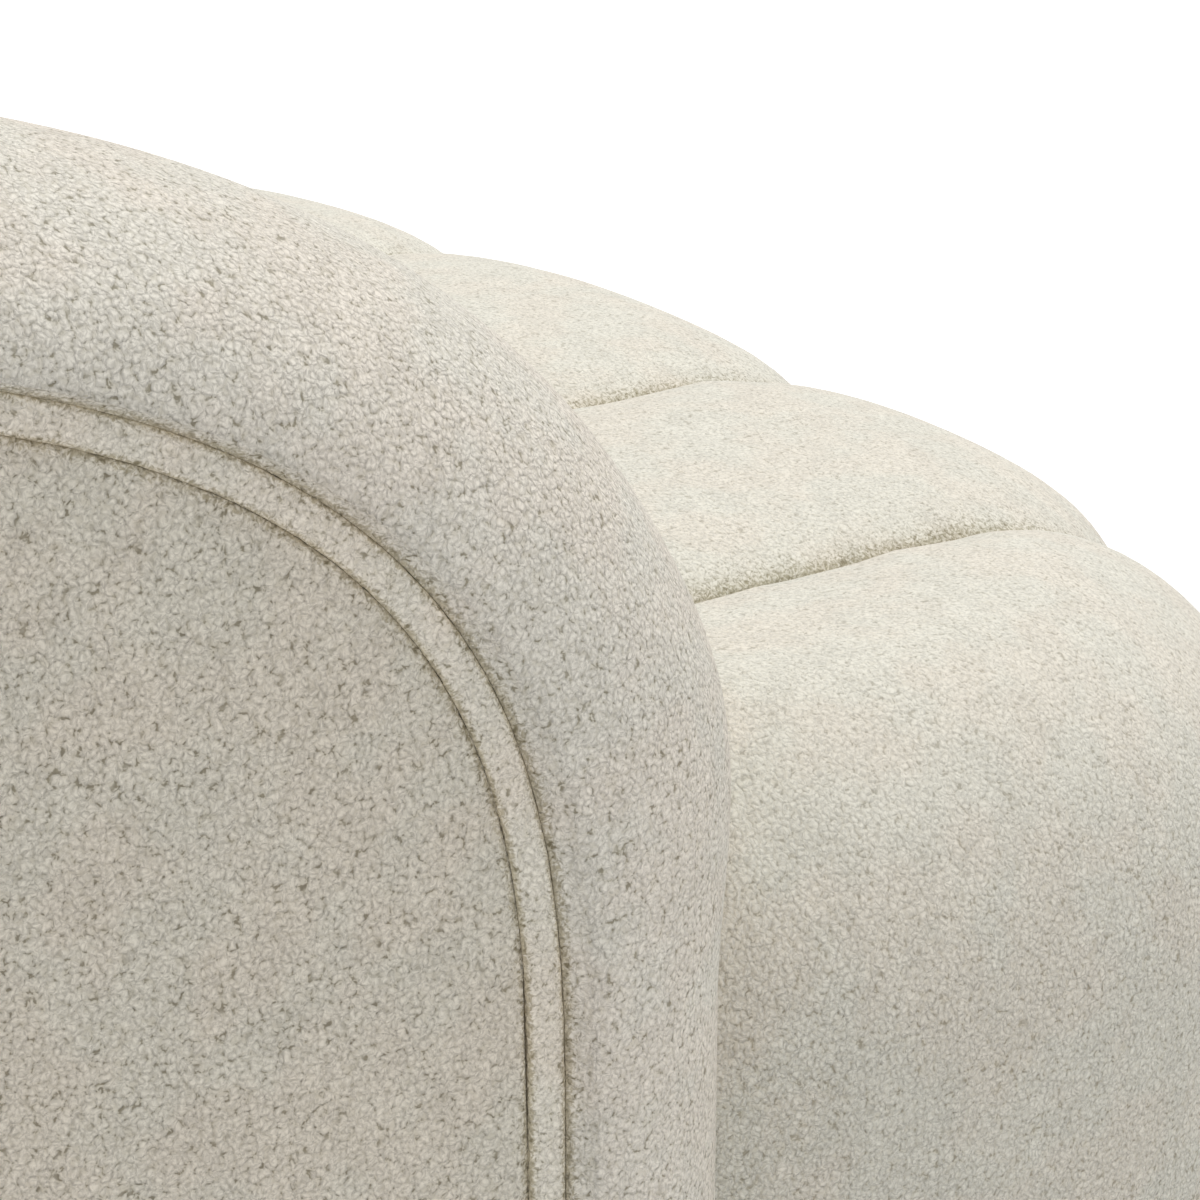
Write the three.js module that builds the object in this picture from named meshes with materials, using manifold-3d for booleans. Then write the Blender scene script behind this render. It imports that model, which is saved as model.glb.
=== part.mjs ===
// Tuxedo sofa with a channelled seat, a wrapped arm and back shell of one height, and piped outer panels.
// Millimetres. +X is the sitter's left, so the viewer's right, -Y is the front, +Z is up.
// The origin lies on the floor, under the middle of the sofa.

import * as THREE from 'three';
import { mergeVertices } from 'three/addons/utils/BufferGeometryUtils.js';
import Module from 'manifold-3d';

const wasm = await Module();
wasm.setup();

// Seat channels, side by side, and the whole depth
const channelWidth = 290;          // the middle channel
const sideChannelWidth = 229;      // the channel on each side of it
const cornerWidth = 201;           // from the last seam to the piping at the arm's front
const sofaDepth = 970;
const seatTop = 419;               // crest of the channels
const channelDepth = 30;           // how far a seam is drawn in below the crest
const padThickness = 50;           // a channel pad at its crest
const edgeReach = 145;             // how the seat rolls over its front edge: along the seat
const edgeDrop = 130;              // and downwards
const cornerDrop = 4;              // the corner channels lie this much lower
const seatAheadShare = 0.4175;     // of the depth: from the arm's front to the seat's front
const seatCornerRun = 425;         // the rounded corner in plan: along X,
const seatCornerDepth = 300;       // along Y towards the front,
const seatCornerBack = 330;        // and along Y towards the back
const seatBackRadius = 35;         // the pads roll down at the back
const faceTuck = 10;               // the front face leans in at its foot

// The wrap: both arms and the back, one height and one thickness
const wrapThickness = 184;
const trimTop = 610;               // the piping's level along the arms and the back
const archRun = 439;               // the arm's front arch: along the arm
const archRise = 298;              // and upwards
const armFlare = 12;               // degrees that each arm opens towards the front
const wrapCornerShare = 0.3093;    // of the depth: the outer face's radius at the back's corners
const rollTop = 66;                // the roll above the piping
const rollFront = 111;             // the roll in front of the piping
const rollFoot = 94;               // the same near the floor
const rollBulge = 6;               // how far the roll swells past the wrap's faces
const pipingRadius = 6.5;
const pipingProud = 1;             // the piping's centre lies this far inside the outer face
const outerPadThickness = 16;
const outerPadCrown = 4;
const innerPadThickness = 34;
const innerPadCrown = 10;
const innerPadGroove = 18;

// Frame and feet
const footHeight = 60;
const footTopRadius = 27;
const footBottomRadius = 20;
const footRim = 2;                 // chamfer at the foot's ground edge
const clothLift = 2;               // the cloth ends this far above the frame's underside
const railHeight = 152;
const railWidth = 32;
const topRailHeight = 45;
const boardThickness = 11.4;
const coverThickness = 1.4;
const coverMargin = 6;
const strapWidth = 70;
const strapThickness = 3;
const strapCount = 3;
const crossRailCount = 3;
const postWidth = 40;
const postInset = 40;              // from the arch's foot to the arm's post, and from the last seam to a rail
const foamClearance = 2;           // the foam lies this far under the pads
const gap = 0.3;                   // between touching pieces
const cutClearance = 0.4;

// Counts of steps
const acrossSteps = 8;
const cornerSteps = 12;
const wrapCornerSteps = 10;
const archSteps = 13;
const archSamples = 60;
const rollSteps = 10;
const pipingSides = 6;
const footSides = 24;

// Powers and shares of the rounded forms
const archPower = 3.1;
const cornerPower = 2.6;
const puffPower = 2.8;
const rollBlendPower = 1.2;
const rollFlatShare = 0.15;
const rollEndShare = 0.9;
const slimTopShare = 0.44;         // of the arch's rise: the roll grows slimmer below this
const slimRunShare = 0.37;         // and within this
const cornerFrontShare = 0.62;     // of the corner's rays reach its front and side
const cornerRearShare = 0.35;      // of a quarter turn, from the side towards the arm
const shortRayShare = 0.7;         // of a short ray's length may roll over
const formerSteps = 9;

const flare = THREE.MathUtils.degToRad(armFlare);
const quarter = Math.PI / 2;
const middleSeam = channelWidth / 2;
const cornerSeam = middleSeam + sideChannelWidth;
const armFrontX = cornerSeam + cornerWidth;
const seatAheadOfArm = sofaDepth * seatAheadShare;
const wrapCornerRadius = sofaDepth * wrapCornerShare;
const seatFront = -sofaDepth / 2;
const backFace = sofaDepth / 2 - rollBulge;
const armFrontY = seatFront + seatAheadOfArm + rollFront * Math.cos(flare);
const railBottom = footHeight + coverThickness + 2 * gap;
const railTop = railBottom + railHeight;
const upholsteryFoot = railBottom + clothLift;
const innerFoot = railTop + gap;
const deckTop = railTop + strapThickness + 2 * gap;
const archFoot = trimTop - archRise;

// Layers of the wrap, as distances out from its outer face
const boardOutside = -outerPadThickness - gap;
const boardInside = boardOutside - boardThickness;
const innerPadBack = -(wrapThickness - innerPadThickness);
const innerBoardFace = innerPadBack + gap;
const innerBoardBack = innerBoardFace + boardThickness;
const innerFaceOffset = wrapThickness + innerPadCrown;

// Materials.

const material = (color, roughness) => new THREE.MeshStandardMaterial({ color, roughness });
const looks = {
  boucle: () => material(0xdcd6c9, 0.95),
  boucleShade: () => material(0xcfc8b9, 0.95),
  foam: () => material(0xe9dfae, 0.9),
  wood: () => material(0xc9a777, 0.7),
  footWood: () => material(0x2b2420, 0.5),
  webbing: () => material(0x8a7a62, 0.85),
  cover: () => material(0x232323, 0.9),
};

const sofa = new THREE.Group();
const addPiece = (name, geometry, look) => {
  const mesh = new THREE.Mesh(geometry, look());
  mesh.name = name;
  sofa.add(mesh);
  return mesh;
};

// Closed solids.

const signedVolume = (points, faces) => {
  let sum = 0;
  for (let i = 0; i < faces.length; i += 3) {
    const [a, b, c] = [points[faces[i]], points[faces[i + 1]], points[faces[i + 2]]];
    sum += a.dot(b.clone().cross(c));
  }
  return sum;
};

const solidFrom = (points, faces) => {
  const outward = signedVolume(points, faces) > 0;
  const index = outward ? faces : faces.map((_, i) => faces[i % 3 === 1 ? i + 1 : i % 3 === 2 ? i - 1 : i]);
  const geometry = new THREE.BufferGeometry();
  const numbers = points.flatMap((p) => p.toArray());
  geometry.setAttribute('position', new THREE.Float32BufferAttribute(numbers, 3));
  geometry.setIndex(index);
  geometry.computeVertexNormals();
  return geometry;
};

// A closed solid between two grids of points of the same size, such as the two faces of a pad.
const slabBetween = (front, back) => {
  const [rows, columns] = [front.length, front[0].length];
  const points = [...front.flat(), ...back.flat()];
  const at = (side, i, j) => side * rows * columns + i * columns + j;
  const faces = [];
  const quad = (a, b, c, d) => faces.push(a, b, c, a, c, d);
  for (let i = 0; i < rows - 1; i++) {
    for (let j = 0; j < columns - 1; j++) {
      quad(at(0, i, j), at(0, i + 1, j), at(0, i + 1, j + 1), at(0, i, j + 1));
      quad(at(1, i, j), at(1, i, j + 1), at(1, i + 1, j + 1), at(1, i + 1, j));
    }
  }
  for (let i = 0; i < rows - 1; i++) {
    quad(at(0, i + 1, 0), at(0, i, 0), at(1, i, 0), at(1, i + 1, 0));
    quad(at(0, i, columns - 1), at(0, i + 1, columns - 1), at(1, i + 1, columns - 1), at(1, i, columns - 1));
  }
  for (let j = 0; j < columns - 1; j++) {
    quad(at(0, 0, j), at(0, 0, j + 1), at(1, 0, j + 1), at(1, 0, j));
    quad(at(0, rows - 1, j + 1), at(0, rows - 1, j), at(1, rows - 1, j), at(1, rows - 1, j + 1));
  }
  return solidFrom(points, faces);
};

// A closed solid through a row of rings, each a convex loop with the same number of points.
const loftThrough = (rings) => {
  const count = rings[0].length;
  const points = rings.flat();
  const faces = [];
  for (let i = 0; i < rings.length - 1; i++) {
    for (let j = 0; j < count; j++) {
      const [a, b] = [i * count + j, i * count + ((j + 1) % count)];
      faces.push(a, b, b + count, a, b + count, a + count);
    }
  }
  const last = (rings.length - 1) * count;
  for (let j = 1; j < count - 1; j++) faces.push(0, j + 1, j, last, last + j, last + j + 1);
  return solidFrom(points, faces);
};

const mirrored = (geometry) => {
  const copy = geometry.clone();
  copy.scale(-1, 1, 1);
  const index = copy.index.array;
  for (let i = 0; i < index.length; i += 3) [index[i + 1], index[i + 2]] = [index[i + 2], index[i + 1]];
  copy.computeVertexNormals();
  return copy;
};

const toManifold = (geometry) => {
  const bare = geometry.clone();
  bare.deleteAttribute('normal');
  bare.deleteAttribute('uv');
  const merged = mergeVertices(bare);
  return new wasm.Manifold(new wasm.Mesh({
    numProp: 3,
    vertProperties: new Float32Array(merged.attributes.position.array),
    triVerts: new Uint32Array(merged.index.array),
  }));
};

// What is left of a solid outside the cutter. Slivers that the cut leaves behind are offcuts.
const cutAway = (geometry, cutter) => {
  const pieces = toManifold(geometry).subtract(cutter).decompose();
  const mesh = pieces.reduce((a, b) => (a.volume() > b.volume() ? a : b)).getMesh();
  const result = new THREE.BufferGeometry();
  const positions = [];
  for (let i = 0; i < mesh.vertProperties.length; i += mesh.numProp) {
    positions.push(...mesh.vertProperties.slice(i, i + 3));
  }
  result.setAttribute('position', new THREE.Float32BufferAttribute(positions, 3));
  result.setIndex([...mesh.triVerts]);
  result.computeVertexNormals();
  return result;
};

const stepsBetween = (from, to, count) => (
  Array.from({ length: count + 1 }, (_, i) => from + ((to - from) * i) / count)
);
const smooth = (value) => THREE.MathUtils.smoothstep(value, 0, 1);
const swell = (share) => (1 - Math.abs(1 - Math.min(share, 1)) ** puffPower) ** (1 / puffPower);

// The wrap's path and its edge line.

// Plan of the wrap's outer face for the viewer's left half: the arm, the corner, then half of the back.
// s runs from the piping at the arm's front. Beyond the middle the path is the mirror image.
const armDirection = new THREE.Vector2(Math.sin(flare), Math.cos(flare));
const armOutward = new THREE.Vector2(-Math.cos(flare), Math.sin(flare));
const cornerCentreY = backFace - wrapCornerRadius;
const cornerStart = (cornerCentreY + wrapCornerRadius * Math.sin(flare) - armFrontY) / Math.cos(flare);
const cornerCentreX = -armFrontX + Math.sin(flare) * cornerStart + Math.cos(flare) * wrapCornerRadius;
const cornerTurn = quarter - flare;
const backStart = cornerStart + wrapCornerRadius * cornerTurn;
const middle = backStart - cornerCentreX;

const planOf = (s) => {
  if (s > middle) {
    const twin = planOf(2 * middle - s);
    return { x: -twin.x, y: twin.y, nx: -twin.nx, ny: twin.ny };
  }
  if (s <= cornerStart) {
    const [x, y] = [-armFrontX + armDirection.x * s, armFrontY + armDirection.y * s];
    return { x, y, nx: armOutward.x, ny: armOutward.y };
  }
  if (s <= backStart) {
    const angle = Math.PI - flare - (s - cornerStart) / wrapCornerRadius;
    const [nx, ny] = [Math.cos(angle), Math.sin(angle)];
    return { x: cornerCentreX + nx * wrapCornerRadius, y: cornerCentreY + ny * wrapCornerRadius, nx, ny };
  }
  return { x: cornerCentreX + s - backStart, y: backFace, nx: 0, ny: 1 };
};

// A point of the wrap: s along it, z up, and its distance out from the outer face, negative inwards.
const wrapPoint = (s, z, out) => {
  const { x, y, nx, ny } = planOf(s);
  return new THREE.Vector3(x + nx * out, y + ny * out, z);
};

// The edge line that the piping follows, in the unrolled face: up the arm's front, over the arch and
// along the top.
const archPoint = (angle) => {
  const [c, d] = [Math.cos(angle) ** (2 / archPower), Math.sin(angle) ** (2 / archPower)];
  const power = 2 - 2 / archPower;
  const [ns, nz] = [Math.cos(angle) ** power / archRun, Math.sin(angle) ** power / archRise];
  const size = Math.hypot(ns, nz);
  return { s: archRun * (1 - c), z: archFoot + archRise * d, front: ns / size, up: nz / size };
};
const archAngleOfTurn = (turn) => (turn >= quarter ? quarter
  : Math.atan(((archRise / archRun) * Math.tan(turn)) ** (archPower / (2 * archPower - 2))));
const edgeAt = (s) => (s >= archRun ? { s, z: trimTop, front: 0, up: 1 }
  : archPoint(Math.acos((1 - s / archRun) ** (archPower / 2))));
// From the floor up the arm's front, where the line turns evenly, then round the corner in even steps.
const archTurns = stepsBetween(0, quarter, archSteps).map((turn) => archPoint(archAngleOfTurn(turn)));
const cornerPlaces = stepsBetween(cornerStart, backStart, wrapCornerSteps);
const placesTo = (end) => [...cornerPlaces.filter((s) => s < end - gap), end];
const edgeFromFloor = (floor, end) => [
  ...stepsBetween(floor, archFoot, 4).slice(0, -1).map((z) => ({ s: 0, z, front: 1, up: 0 })),
  ...archTurns.filter((edge) => edge.s < cornerStart - pipingRadius),
  ...placesTo(end).map(edgeAt),
];

// Reach of the roll beyond the edge line: deepest at the arm's front, flatter on top, slimmer near the floor.
const rollReach = (edge) => {
  const low = smooth((archFoot + archRise * slimTopShare - edge.z) / (archRise * slimRunShare));
  const front = THREE.MathUtils.lerp(rollFront, rollFoot, low);
  return THREE.MathUtils.lerp(front, rollTop, edge.up ** rollBlendPower);
};

// The D-shaped section of the roll at one place of the edge line.
const rollRing = (edge, extra = 0) => {
  const reach = rollReach(edge) + extra;
  const half = wrapThickness / 2;
  const seat = pipingRadius + gap - extra;
  const at = (beyond, out) => wrapPoint(edge.s - edge.front * beyond, edge.z + edge.up * beyond, out);
  const ring = stepsBetween(quarter * rollEndShare, -quarter * rollEndShare, rollSteps).map((turn) => {
    const beyond = reach * (rollFlatShare + (1 - rollFlatShare) * Math.cos(turn));
    return at(beyond, -half + (half + rollBulge + extra) * Math.sin(turn));
  });
  const base = [-wrapThickness + pipingRadius - extra, innerBoardBack, boardInside, -pipingRadius + extra];
  return [...ring, ...base.map((out) => at(seat, out))];
};

// Height of the edge line, drawn back by a margin, at each s of a row of places.
const edgeHeights = (places, margin) => {
  const line = stepsBetween(0, quarter, archSamples).map(archPoint).map((edge) => ({
    s: edge.s + edge.front * margin, z: edge.z - edge.up * margin,
  }));
  return places.map((place) => {
    const s = place > middle ? 2 * middle - place : place;
    const next = line.findIndex((p, i) => i > 0 && p.s >= s && p.s > line[i - 1].s);
    if (next < 0) return trimTop - margin;
    const [a, b] = [line[next - 1], line[next]];
    return THREE.MathUtils.lerp(a.z, b.z, THREE.MathUtils.clamp((s - a.s) / (b.s - a.s), 0, 1));
  });
};

// A sheet, board or pad that lies in the wrap, at a row of places of the path.
// outside is where its outer face lies and crown how far that face swells; inside is its back.
const wrapSheet = ({ places, foot, margin, outside, inside, crown = 0, rows = 1, top = Infinity }) => {
  const heights = edgeHeights(places, margin);
  const [first, last] = [places[0], places[places.length - 1]];
  const face = [];
  const back = [];
  places.forEach((s, i) => {
    const shareAlong = Math.min(s - first, last - s) / ((last - first) / 2);
    const height = Math.min(heights[i], top);
    const column = [];
    const columnBack = [];
    for (const up of stepsBetween(0, 1, rows)) {
      const z = foot + (height - foot) * up;
      const shareUp = Math.min(1, (1 - up) * 2);
      const bulge = crown * (rows > 1 ? swell(shareAlong) * swell(shareUp) : 0);
      column.push(wrapPoint(s, z, outside + bulge));
      columnBack.push(wrapPoint(s, z, inside));
    }
    face.push(column);
    back.push(columnBack);
  });
  return slabBetween(face, back);
};

// Places along an arm and round its corner, at the arch's own turns.
const armPlaces = (margin, end) => [
  ...archTurns.map((edge) => edge.s + edge.front * margin).filter((s) => s < cornerStart - pipingRadius),
  ...placesTo(end),
];
const bothSides = (places) => [...places, ...places.slice(0, -1).reverse().map((s) => 2 * middle - s)];

// The outer panels, the boards and the rolls meet in the corner, just past the end of the arch.
const panelSeam = cornerPlaces.find((s) => s > archRun + pipingRadius) ?? backStart;
const backPlaces = (straightSteps) => bothSides([
  panelSeam + gap / 2, ...cornerPlaces.filter((s) => s > panelSeam + gap),
  ...stepsBetween(backStart, middle, straightSteps).slice(1),
]);

// Rolls, piping, panels and boards of the wrap.

const buildRolls = () => {
  const armEdges = edgeFromFloor(upholsteryFoot, panelSeam - gap / 2);
  const armRoll = loftThrough(armEdges.map((edge) => rollRing(edge)));
  addPiece('arm_roll_left', armRoll, looks.boucle);
  addPiece('arm_roll_right', mirrored(armRoll), looks.boucle);
  const backEdges = backPlaces(3).map((s) => ({ s, z: trimTop, front: 0, up: 1 }));
  addPiece('back_roll', loftThrough(backEdges.map((edge) => rollRing(edge))), looks.boucle);
};

const buildPiping = () => {
  const half = edgeFromFloor(upholsteryFoot, backStart);
  const twins = [...half].reverse().map((edge) => ({ ...edge, s: 2 * middle - edge.s, front: -edge.front }));
  const rings = [...half, ...twins].map((edge) => {
    const ring = [];
    for (let i = 0; i < pipingSides; i++) {
      const turn = (i / pipingSides) * 2 * Math.PI;
      const beyond = pipingRadius * Math.cos(turn);
      const out = pipingRadius * Math.sin(turn) - pipingProud;
      ring.push(wrapPoint(edge.s - edge.front * beyond, edge.z + edge.up * beyond, out));
    }
    return ring;
  });
  addPiece('piping', loftThrough(rings), looks.boucleShade);
};

const buildOuterPanels = () => {
  const margin = pipingRadius + gap;
  const common = {
    foot: upholsteryFoot, margin, outside: 0, inside: -outerPadThickness, crown: outerPadCrown, rows: 4,
  };
  const pad = wrapSheet({ ...common, places: armPlaces(margin, panelSeam - gap / 2) });
  addPiece('arm_panel_left', pad, looks.boucleShade);
  addPiece('arm_panel_right', mirrored(pad), looks.boucleShade);
  const back = wrapSheet({ ...common, places: backPlaces(3) });
  addPiece('back_panel', back, looks.boucleShade);
};

const buildBoards = () => {
  const margin = -pipingRadius;
  const sheets = [
    ['outer_board', railBottom + gap, boardOutside, boardInside],
    ['inner_board', innerFoot, innerBoardBack, innerBoardFace],
  ];
  for (const [name, foot, outside, inside] of sheets) {
    const arm = wrapSheet({ places: armPlaces(margin, panelSeam - gap / 2), foot, margin, outside, inside });
    addPiece(`${name}_left`, arm, looks.wood);
    addPiece(`${name}_right`, mirrored(arm), looks.wood);
    const back = wrapSheet({ places: backPlaces(1), foot, margin, outside, inside });
    addPiece(`${name}_back`, back, looks.wood);
  }
};

// Inner pads: a long one on each arm that runs round the corner, and one in the middle of the back.
const placeOfX = (x) => middle + x;
const buildInnerPads = () => {
  const margin = -pipingRadius;
  const innerPad = (places) => wrapSheet({
    places, foot: innerFoot, margin, outside: -wrapThickness + innerPadGroove - innerPadCrown,
    inside: innerPadBack, crown: -innerPadGroove, rows: 5,
  });
  const armPad = innerPad(armPlaces(margin, placeOfX(-middleSeam) - gap / 2));
  addPiece('inner_arm_pad_left', armPad, looks.boucle);
  addPiece('inner_arm_pad_right', mirrored(armPad), looks.boucle);
  const middlePlaces = stepsBetween(placeOfX(-middleSeam) + gap / 2, placeOfX(middleSeam) - gap / 2, 6);
  addPiece('inner_back_pad', innerPad(middlePlaces), looks.boucle);
};

// The seat.

// The space that the wrap takes up, with clearance, for cutting what lies against it.
const wrapSpace = () => {
  const floor = railBottom - railWidth;
  const clear = cutClearance;
  const edges = edgeFromFloor(floor, backStart);
  const roll = loftThrough(edges.map((edge) => rollRing(edge, clear)));
  const margin = -pipingRadius - 2 * clear;
  const body = wrapSheet({
    places: [...armPlaces(margin, backStart), middle], foot: floor, margin,
    outside: rollBulge + clear, inside: -innerFaceOffset - clear,
  });
  return toManifold(roll).add(toManifold(body));
};

// The seat's outline in plan, at the crest: straight in front, rounded at the corners.
const straightHalf = armFrontX - seatCornerRun;
const roundCentreY = seatFront + seatCornerDepth;
const seatEdgeY = (x) => {
  const share = Math.max(0, Math.abs(x) - straightHalf) / seatCornerRun;
  return roundCentreY - seatCornerDepth * (1 - Math.min(share, 1) ** cornerPower) ** (1 / cornerPower);
};
const outlineAt = (angle) => {
  const [s, c] = [Math.sin(angle), Math.cos(angle)];
  const normal = new THREE.Vector2(-(s ** (2 - 2 / cornerPower)) / seatCornerRun,
    -(c ** (2 - 2 / cornerPower)) / seatCornerDepth).normalize();
  const point = new THREE.Vector2(-straightHalf - seatCornerRun * s ** (2 / cornerPower),
    roundCentreY - seatCornerDepth * c ** (2 / cornerPower));
  return { point, normal };
};
const seatHeightAt = (x) => (
  seatTop - cornerDrop * smooth((Math.abs(x) - middleSeam) / (cornerSeam - middleSeam))
);
const seatBack = backFace - innerFaceOffset - 2 * gap;
const foamBack = seatBack - padThickness - foamClearance;

// Stations of a channel from its back end, over the seat, over the front edge and down to the cloth's foot.
// The face's levels are given.
const seatStations = (withBack, levels) => {
  const stations = [];
  if (withBack) {
    for (const angle of [0, quarter / 2]) {
      stations.push({
        along: () => seatBackRadius * (1 - Math.cos(angle)),
        height: (top) => top - seatBackRadius * (1 - Math.sin(angle)),
      });
    }
  }
  const flatStart = withBack ? seatBackRadius : 0;
  const reach = (length) => Math.min(edgeReach, (length - flatStart) * shortRayShare);
  for (const share of stepsBetween(0, 1, withBack ? 3 : 2).slice(0, -1)) {
    stations.push({
      along: (length) => flatStart + (length - flatStart - reach(length)) * share, height: (top) => top,
    });
  }
  for (const turn of stepsBetween(0, quarter, 5)) {
    stations.push({
      along: (length) => length - reach(length) * (1 - Math.sin(turn)),
      height: (top) => top - edgeDrop * (1 - Math.cos(turn)),
    });
  }
  for (const level of levels) {
    const share = (seatTop - edgeDrop - level) / (seatTop - edgeDrop - upholsteryFoot);
    stations.push({ along: (length) => length - faceTuck * share ** 2, height: () => level });
  }
  return stations;
};

// One row of base points per ray, with their normals. A ray runs from an inner point to the outline.
// At a seam the normals stay in the seam's plane, so that neighbours meet there.
const seamDistance = (x) => Math.min(...[middleSeam, cornerSeam].map((seam) => Math.abs(Math.abs(x) - seam)));
const seatGrid = (rays, stations) => {
  const grid = rays.map(({ from, to }) => {
    const length = from.distanceTo(to);
    const direction = to.clone().sub(from).divideScalar(length);
    return stations.map(({ along, height }) => {
      const p = from.clone().addScaledVector(direction, along(length));
      return new THREE.Vector3(p.x, p.y, height(seatHeightAt(p.x)));
    });
  });
  const normals = grid.map((row, i) => row.map((point, j) => {
    const [a, b] = [grid[Math.max(i - 1, 0)], grid[Math.min(i + 1, grid.length - 1)]];
    const across = b[j].clone().sub(a[j]);
    const along = row[Math.min(j + 1, row.length - 1)].clone().sub(row[Math.max(j - 1, 0)]);
    const normal = across.cross(along).normalize();
    normal.x *= Math.min(1, seamDistance(point.x) / (sideChannelWidth / 2));
    return normal.normalize();
  }));
  const facing = normals[1][3].z < 0 ? -1 : 1;
  const lowered = (depthAt) => grid.map((row, i) => row.map((point, j) => (
    point.clone().addScaledVector(normals[i][j], -facing * depthAt(point))
  )));
  return lowered;
};

const padLevels = [(seatTop - edgeDrop + upholsteryFoot) / 2, upholsteryFoot];

// A channel pad: swollen between its seams, drawn in at them, and of even thickness below.
const channelPad = (rays, shareAt, withBack) => {
  const lowered = seatGrid(rays, seatStations(withBack, padLevels));
  return slabBetween(
    lowered((point) => channelDepth * (1 - swell(Math.max(0, shareAt(point))))), lowered(() => padThickness),
  );
};

// Places across a channel, closer together near its seams.
const acrossChannel = (from, to) => stepsBetween(0, Math.PI, acrossSteps).map((turn) => (
  from + ((to - from) * (1 - Math.cos(turn))) / 2
));

const straightRays = (places, backY) => places.map((x) => ({
  from: new THREE.Vector2(x, backY), to: new THREE.Vector2(x, seatEdgeY(x)),
}));

// The corner channel fans out from a hub on its seam, round the corner and back past the arm's front.
const hubY = armFrontY - rollFront / 2;
const hubRadius = pipingRadius;
const cornerRays = (inset) => {
  const hub = new THREE.Vector2(-cornerSeam - gap / 2 - inset, hubY);
  const firstShare = (cornerSeam - straightHalf) / seatCornerRun;
  const firstAngle = Math.asin(firstShare ** (cornerPower / 2));
  const frontCount = Math.round(cornerSteps * cornerFrontShare);
  const outline = stepsBetween(firstAngle, quarter, frontCount).map((angle) => outlineAt(angle).point);
  outline[0].x = hub.x;
  for (const angle of stepsBetween(0, quarter * cornerRearShare, cornerSteps - frontCount).slice(1)) {
    outline.push(new THREE.Vector2(
      -straightHalf - seatCornerRun * Math.cos(angle), roundCentreY + seatCornerBack * Math.sin(angle),
    ));
  }
  return outline.map((to) => {
    const direction = to.clone().sub(hub).normalize();
    return { from: hub.clone().addScaledVector(direction, hubRadius), to };
  });
};

const buildSeat = (space) => {
  const straightPad = (from, to) => {
    const rays = straightRays(acrossChannel(from, to), seatBack);
    return channelPad(rays, ({ x }) => Math.min(x - from, to - x) / ((to - from) / 2), true);
  };
  const middlePad = straightPad(-middleSeam + gap / 2, middleSeam - gap / 2);
  addPiece('seat_channel_middle', middlePad, looks.boucle);
  const sidePad = cutAway(straightPad(-cornerSeam + gap / 2, -middleSeam - gap / 2), space);
  addPiece('seat_channel_left', sidePad, looks.boucle);
  addPiece('seat_channel_right', mirrored(sidePad), looks.boucle);
  const crest = (cornerWidth * (1 + rollFlatShare)) / 2;
  const fromSeam = (point) => Math.abs(Math.abs(point.x) - cornerSeam) / crest;
  const corner = cutAway(channelPad(cornerRays(0), fromSeam, false), space);
  addPiece('seat_corner_left', corner, looks.boucle);
  addPiece('seat_corner_right', mirrored(corner), looks.boucle);
};

// Foam under the pads: their shape, drawn in by the pads' thickness, with a flat underside on the webbing.
const foamUnder = (rays) => {
  const stations = seatStations(false, [(seatTop - edgeDrop + deckTop) / 2, upholsteryFoot]);
  const top = seatGrid(rays, stations)(() => padThickness + foamClearance).map((row) => row.slice(0, -1));
  return slabBetween(top, top.map((row) => row.map((point) => new THREE.Vector3(point.x, point.y, deckTop))));
};

const geometryOf = (solid) => {
  const mesh = solid.getMesh();
  const geometry = new THREE.BufferGeometry();
  geometry.setAttribute('position', new THREE.Float32BufferAttribute([...mesh.vertProperties], 3));
  geometry.setIndex([...mesh.triVerts]);
  return geometry;
};

const buildFoam = (space) => {
  const side = acrossChannel(cornerSeam - gap, middleSeam);
  const places = [...side.map((x) => -x), 0, ...[...side].reverse()];
  let foam = cutAway(foamUnder(straightRays(places, foamBack)), space);
  foam = cutAway(foam, toManifold(mirrored(geometryOf(space))));
  addPiece('seat_foam', foam, looks.foam);
  const cornerFoam = cutAway(foamUnder(cornerRays(gap)), space);
  addPiece('corner_foam_left', cornerFoam, looks.foam);
  addPiece('corner_foam_right', mirrored(cornerFoam), looks.foam);
};

// Frame and feet.

// A beam: a convex outline in plan, from one level to another.
const beam = (outline, bottom, top) => loftThrough([bottom, top].map((z) => (
  outline.map((p) => new THREE.Vector3(p.x, p.y, z))
)));
const rectangle = (x0, x1, y0, y1) => [[x0, y0], [x1, y0], [x1, y1], [x0, y1]].map(([x, y]) => ({ x, y }));

const railOutside = boardInside - gap;
const railInside = railOutside - railWidth;
const formerInset = padThickness + faceTuck + 2 * gap;
const frontRailFront = seatFront + formerInset;
const frontRailBack = frontRailFront + railWidth;
const rearRailFront = backFace + railInside;
const frameHalf = cornerSeam - postInset;     // outer face of the outermost cross rails

// The curved rail under the rounded corner, as two lines in plan.
const formerLine = (inset) => stepsBetween(0, quarter, formerSteps).map((angle) => {
  const { point, normal } = outlineAt(angle);
  return point.addScaledVector(normal, -inset);
});

// Where a line in plan, given as points that follow on along X, lies at a given x of the left half.
const yOn = (line, x) => {
  const next = line.findIndex((p, i) => i > 0 && (p.x - x) * (line[i - 1].x - x) <= 0);
  const [a, b] = [line[next - 1], line[next]];
  return THREE.MathUtils.lerp(a.y, b.y, (x - a.x) / (b.x - a.x));
};

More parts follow.
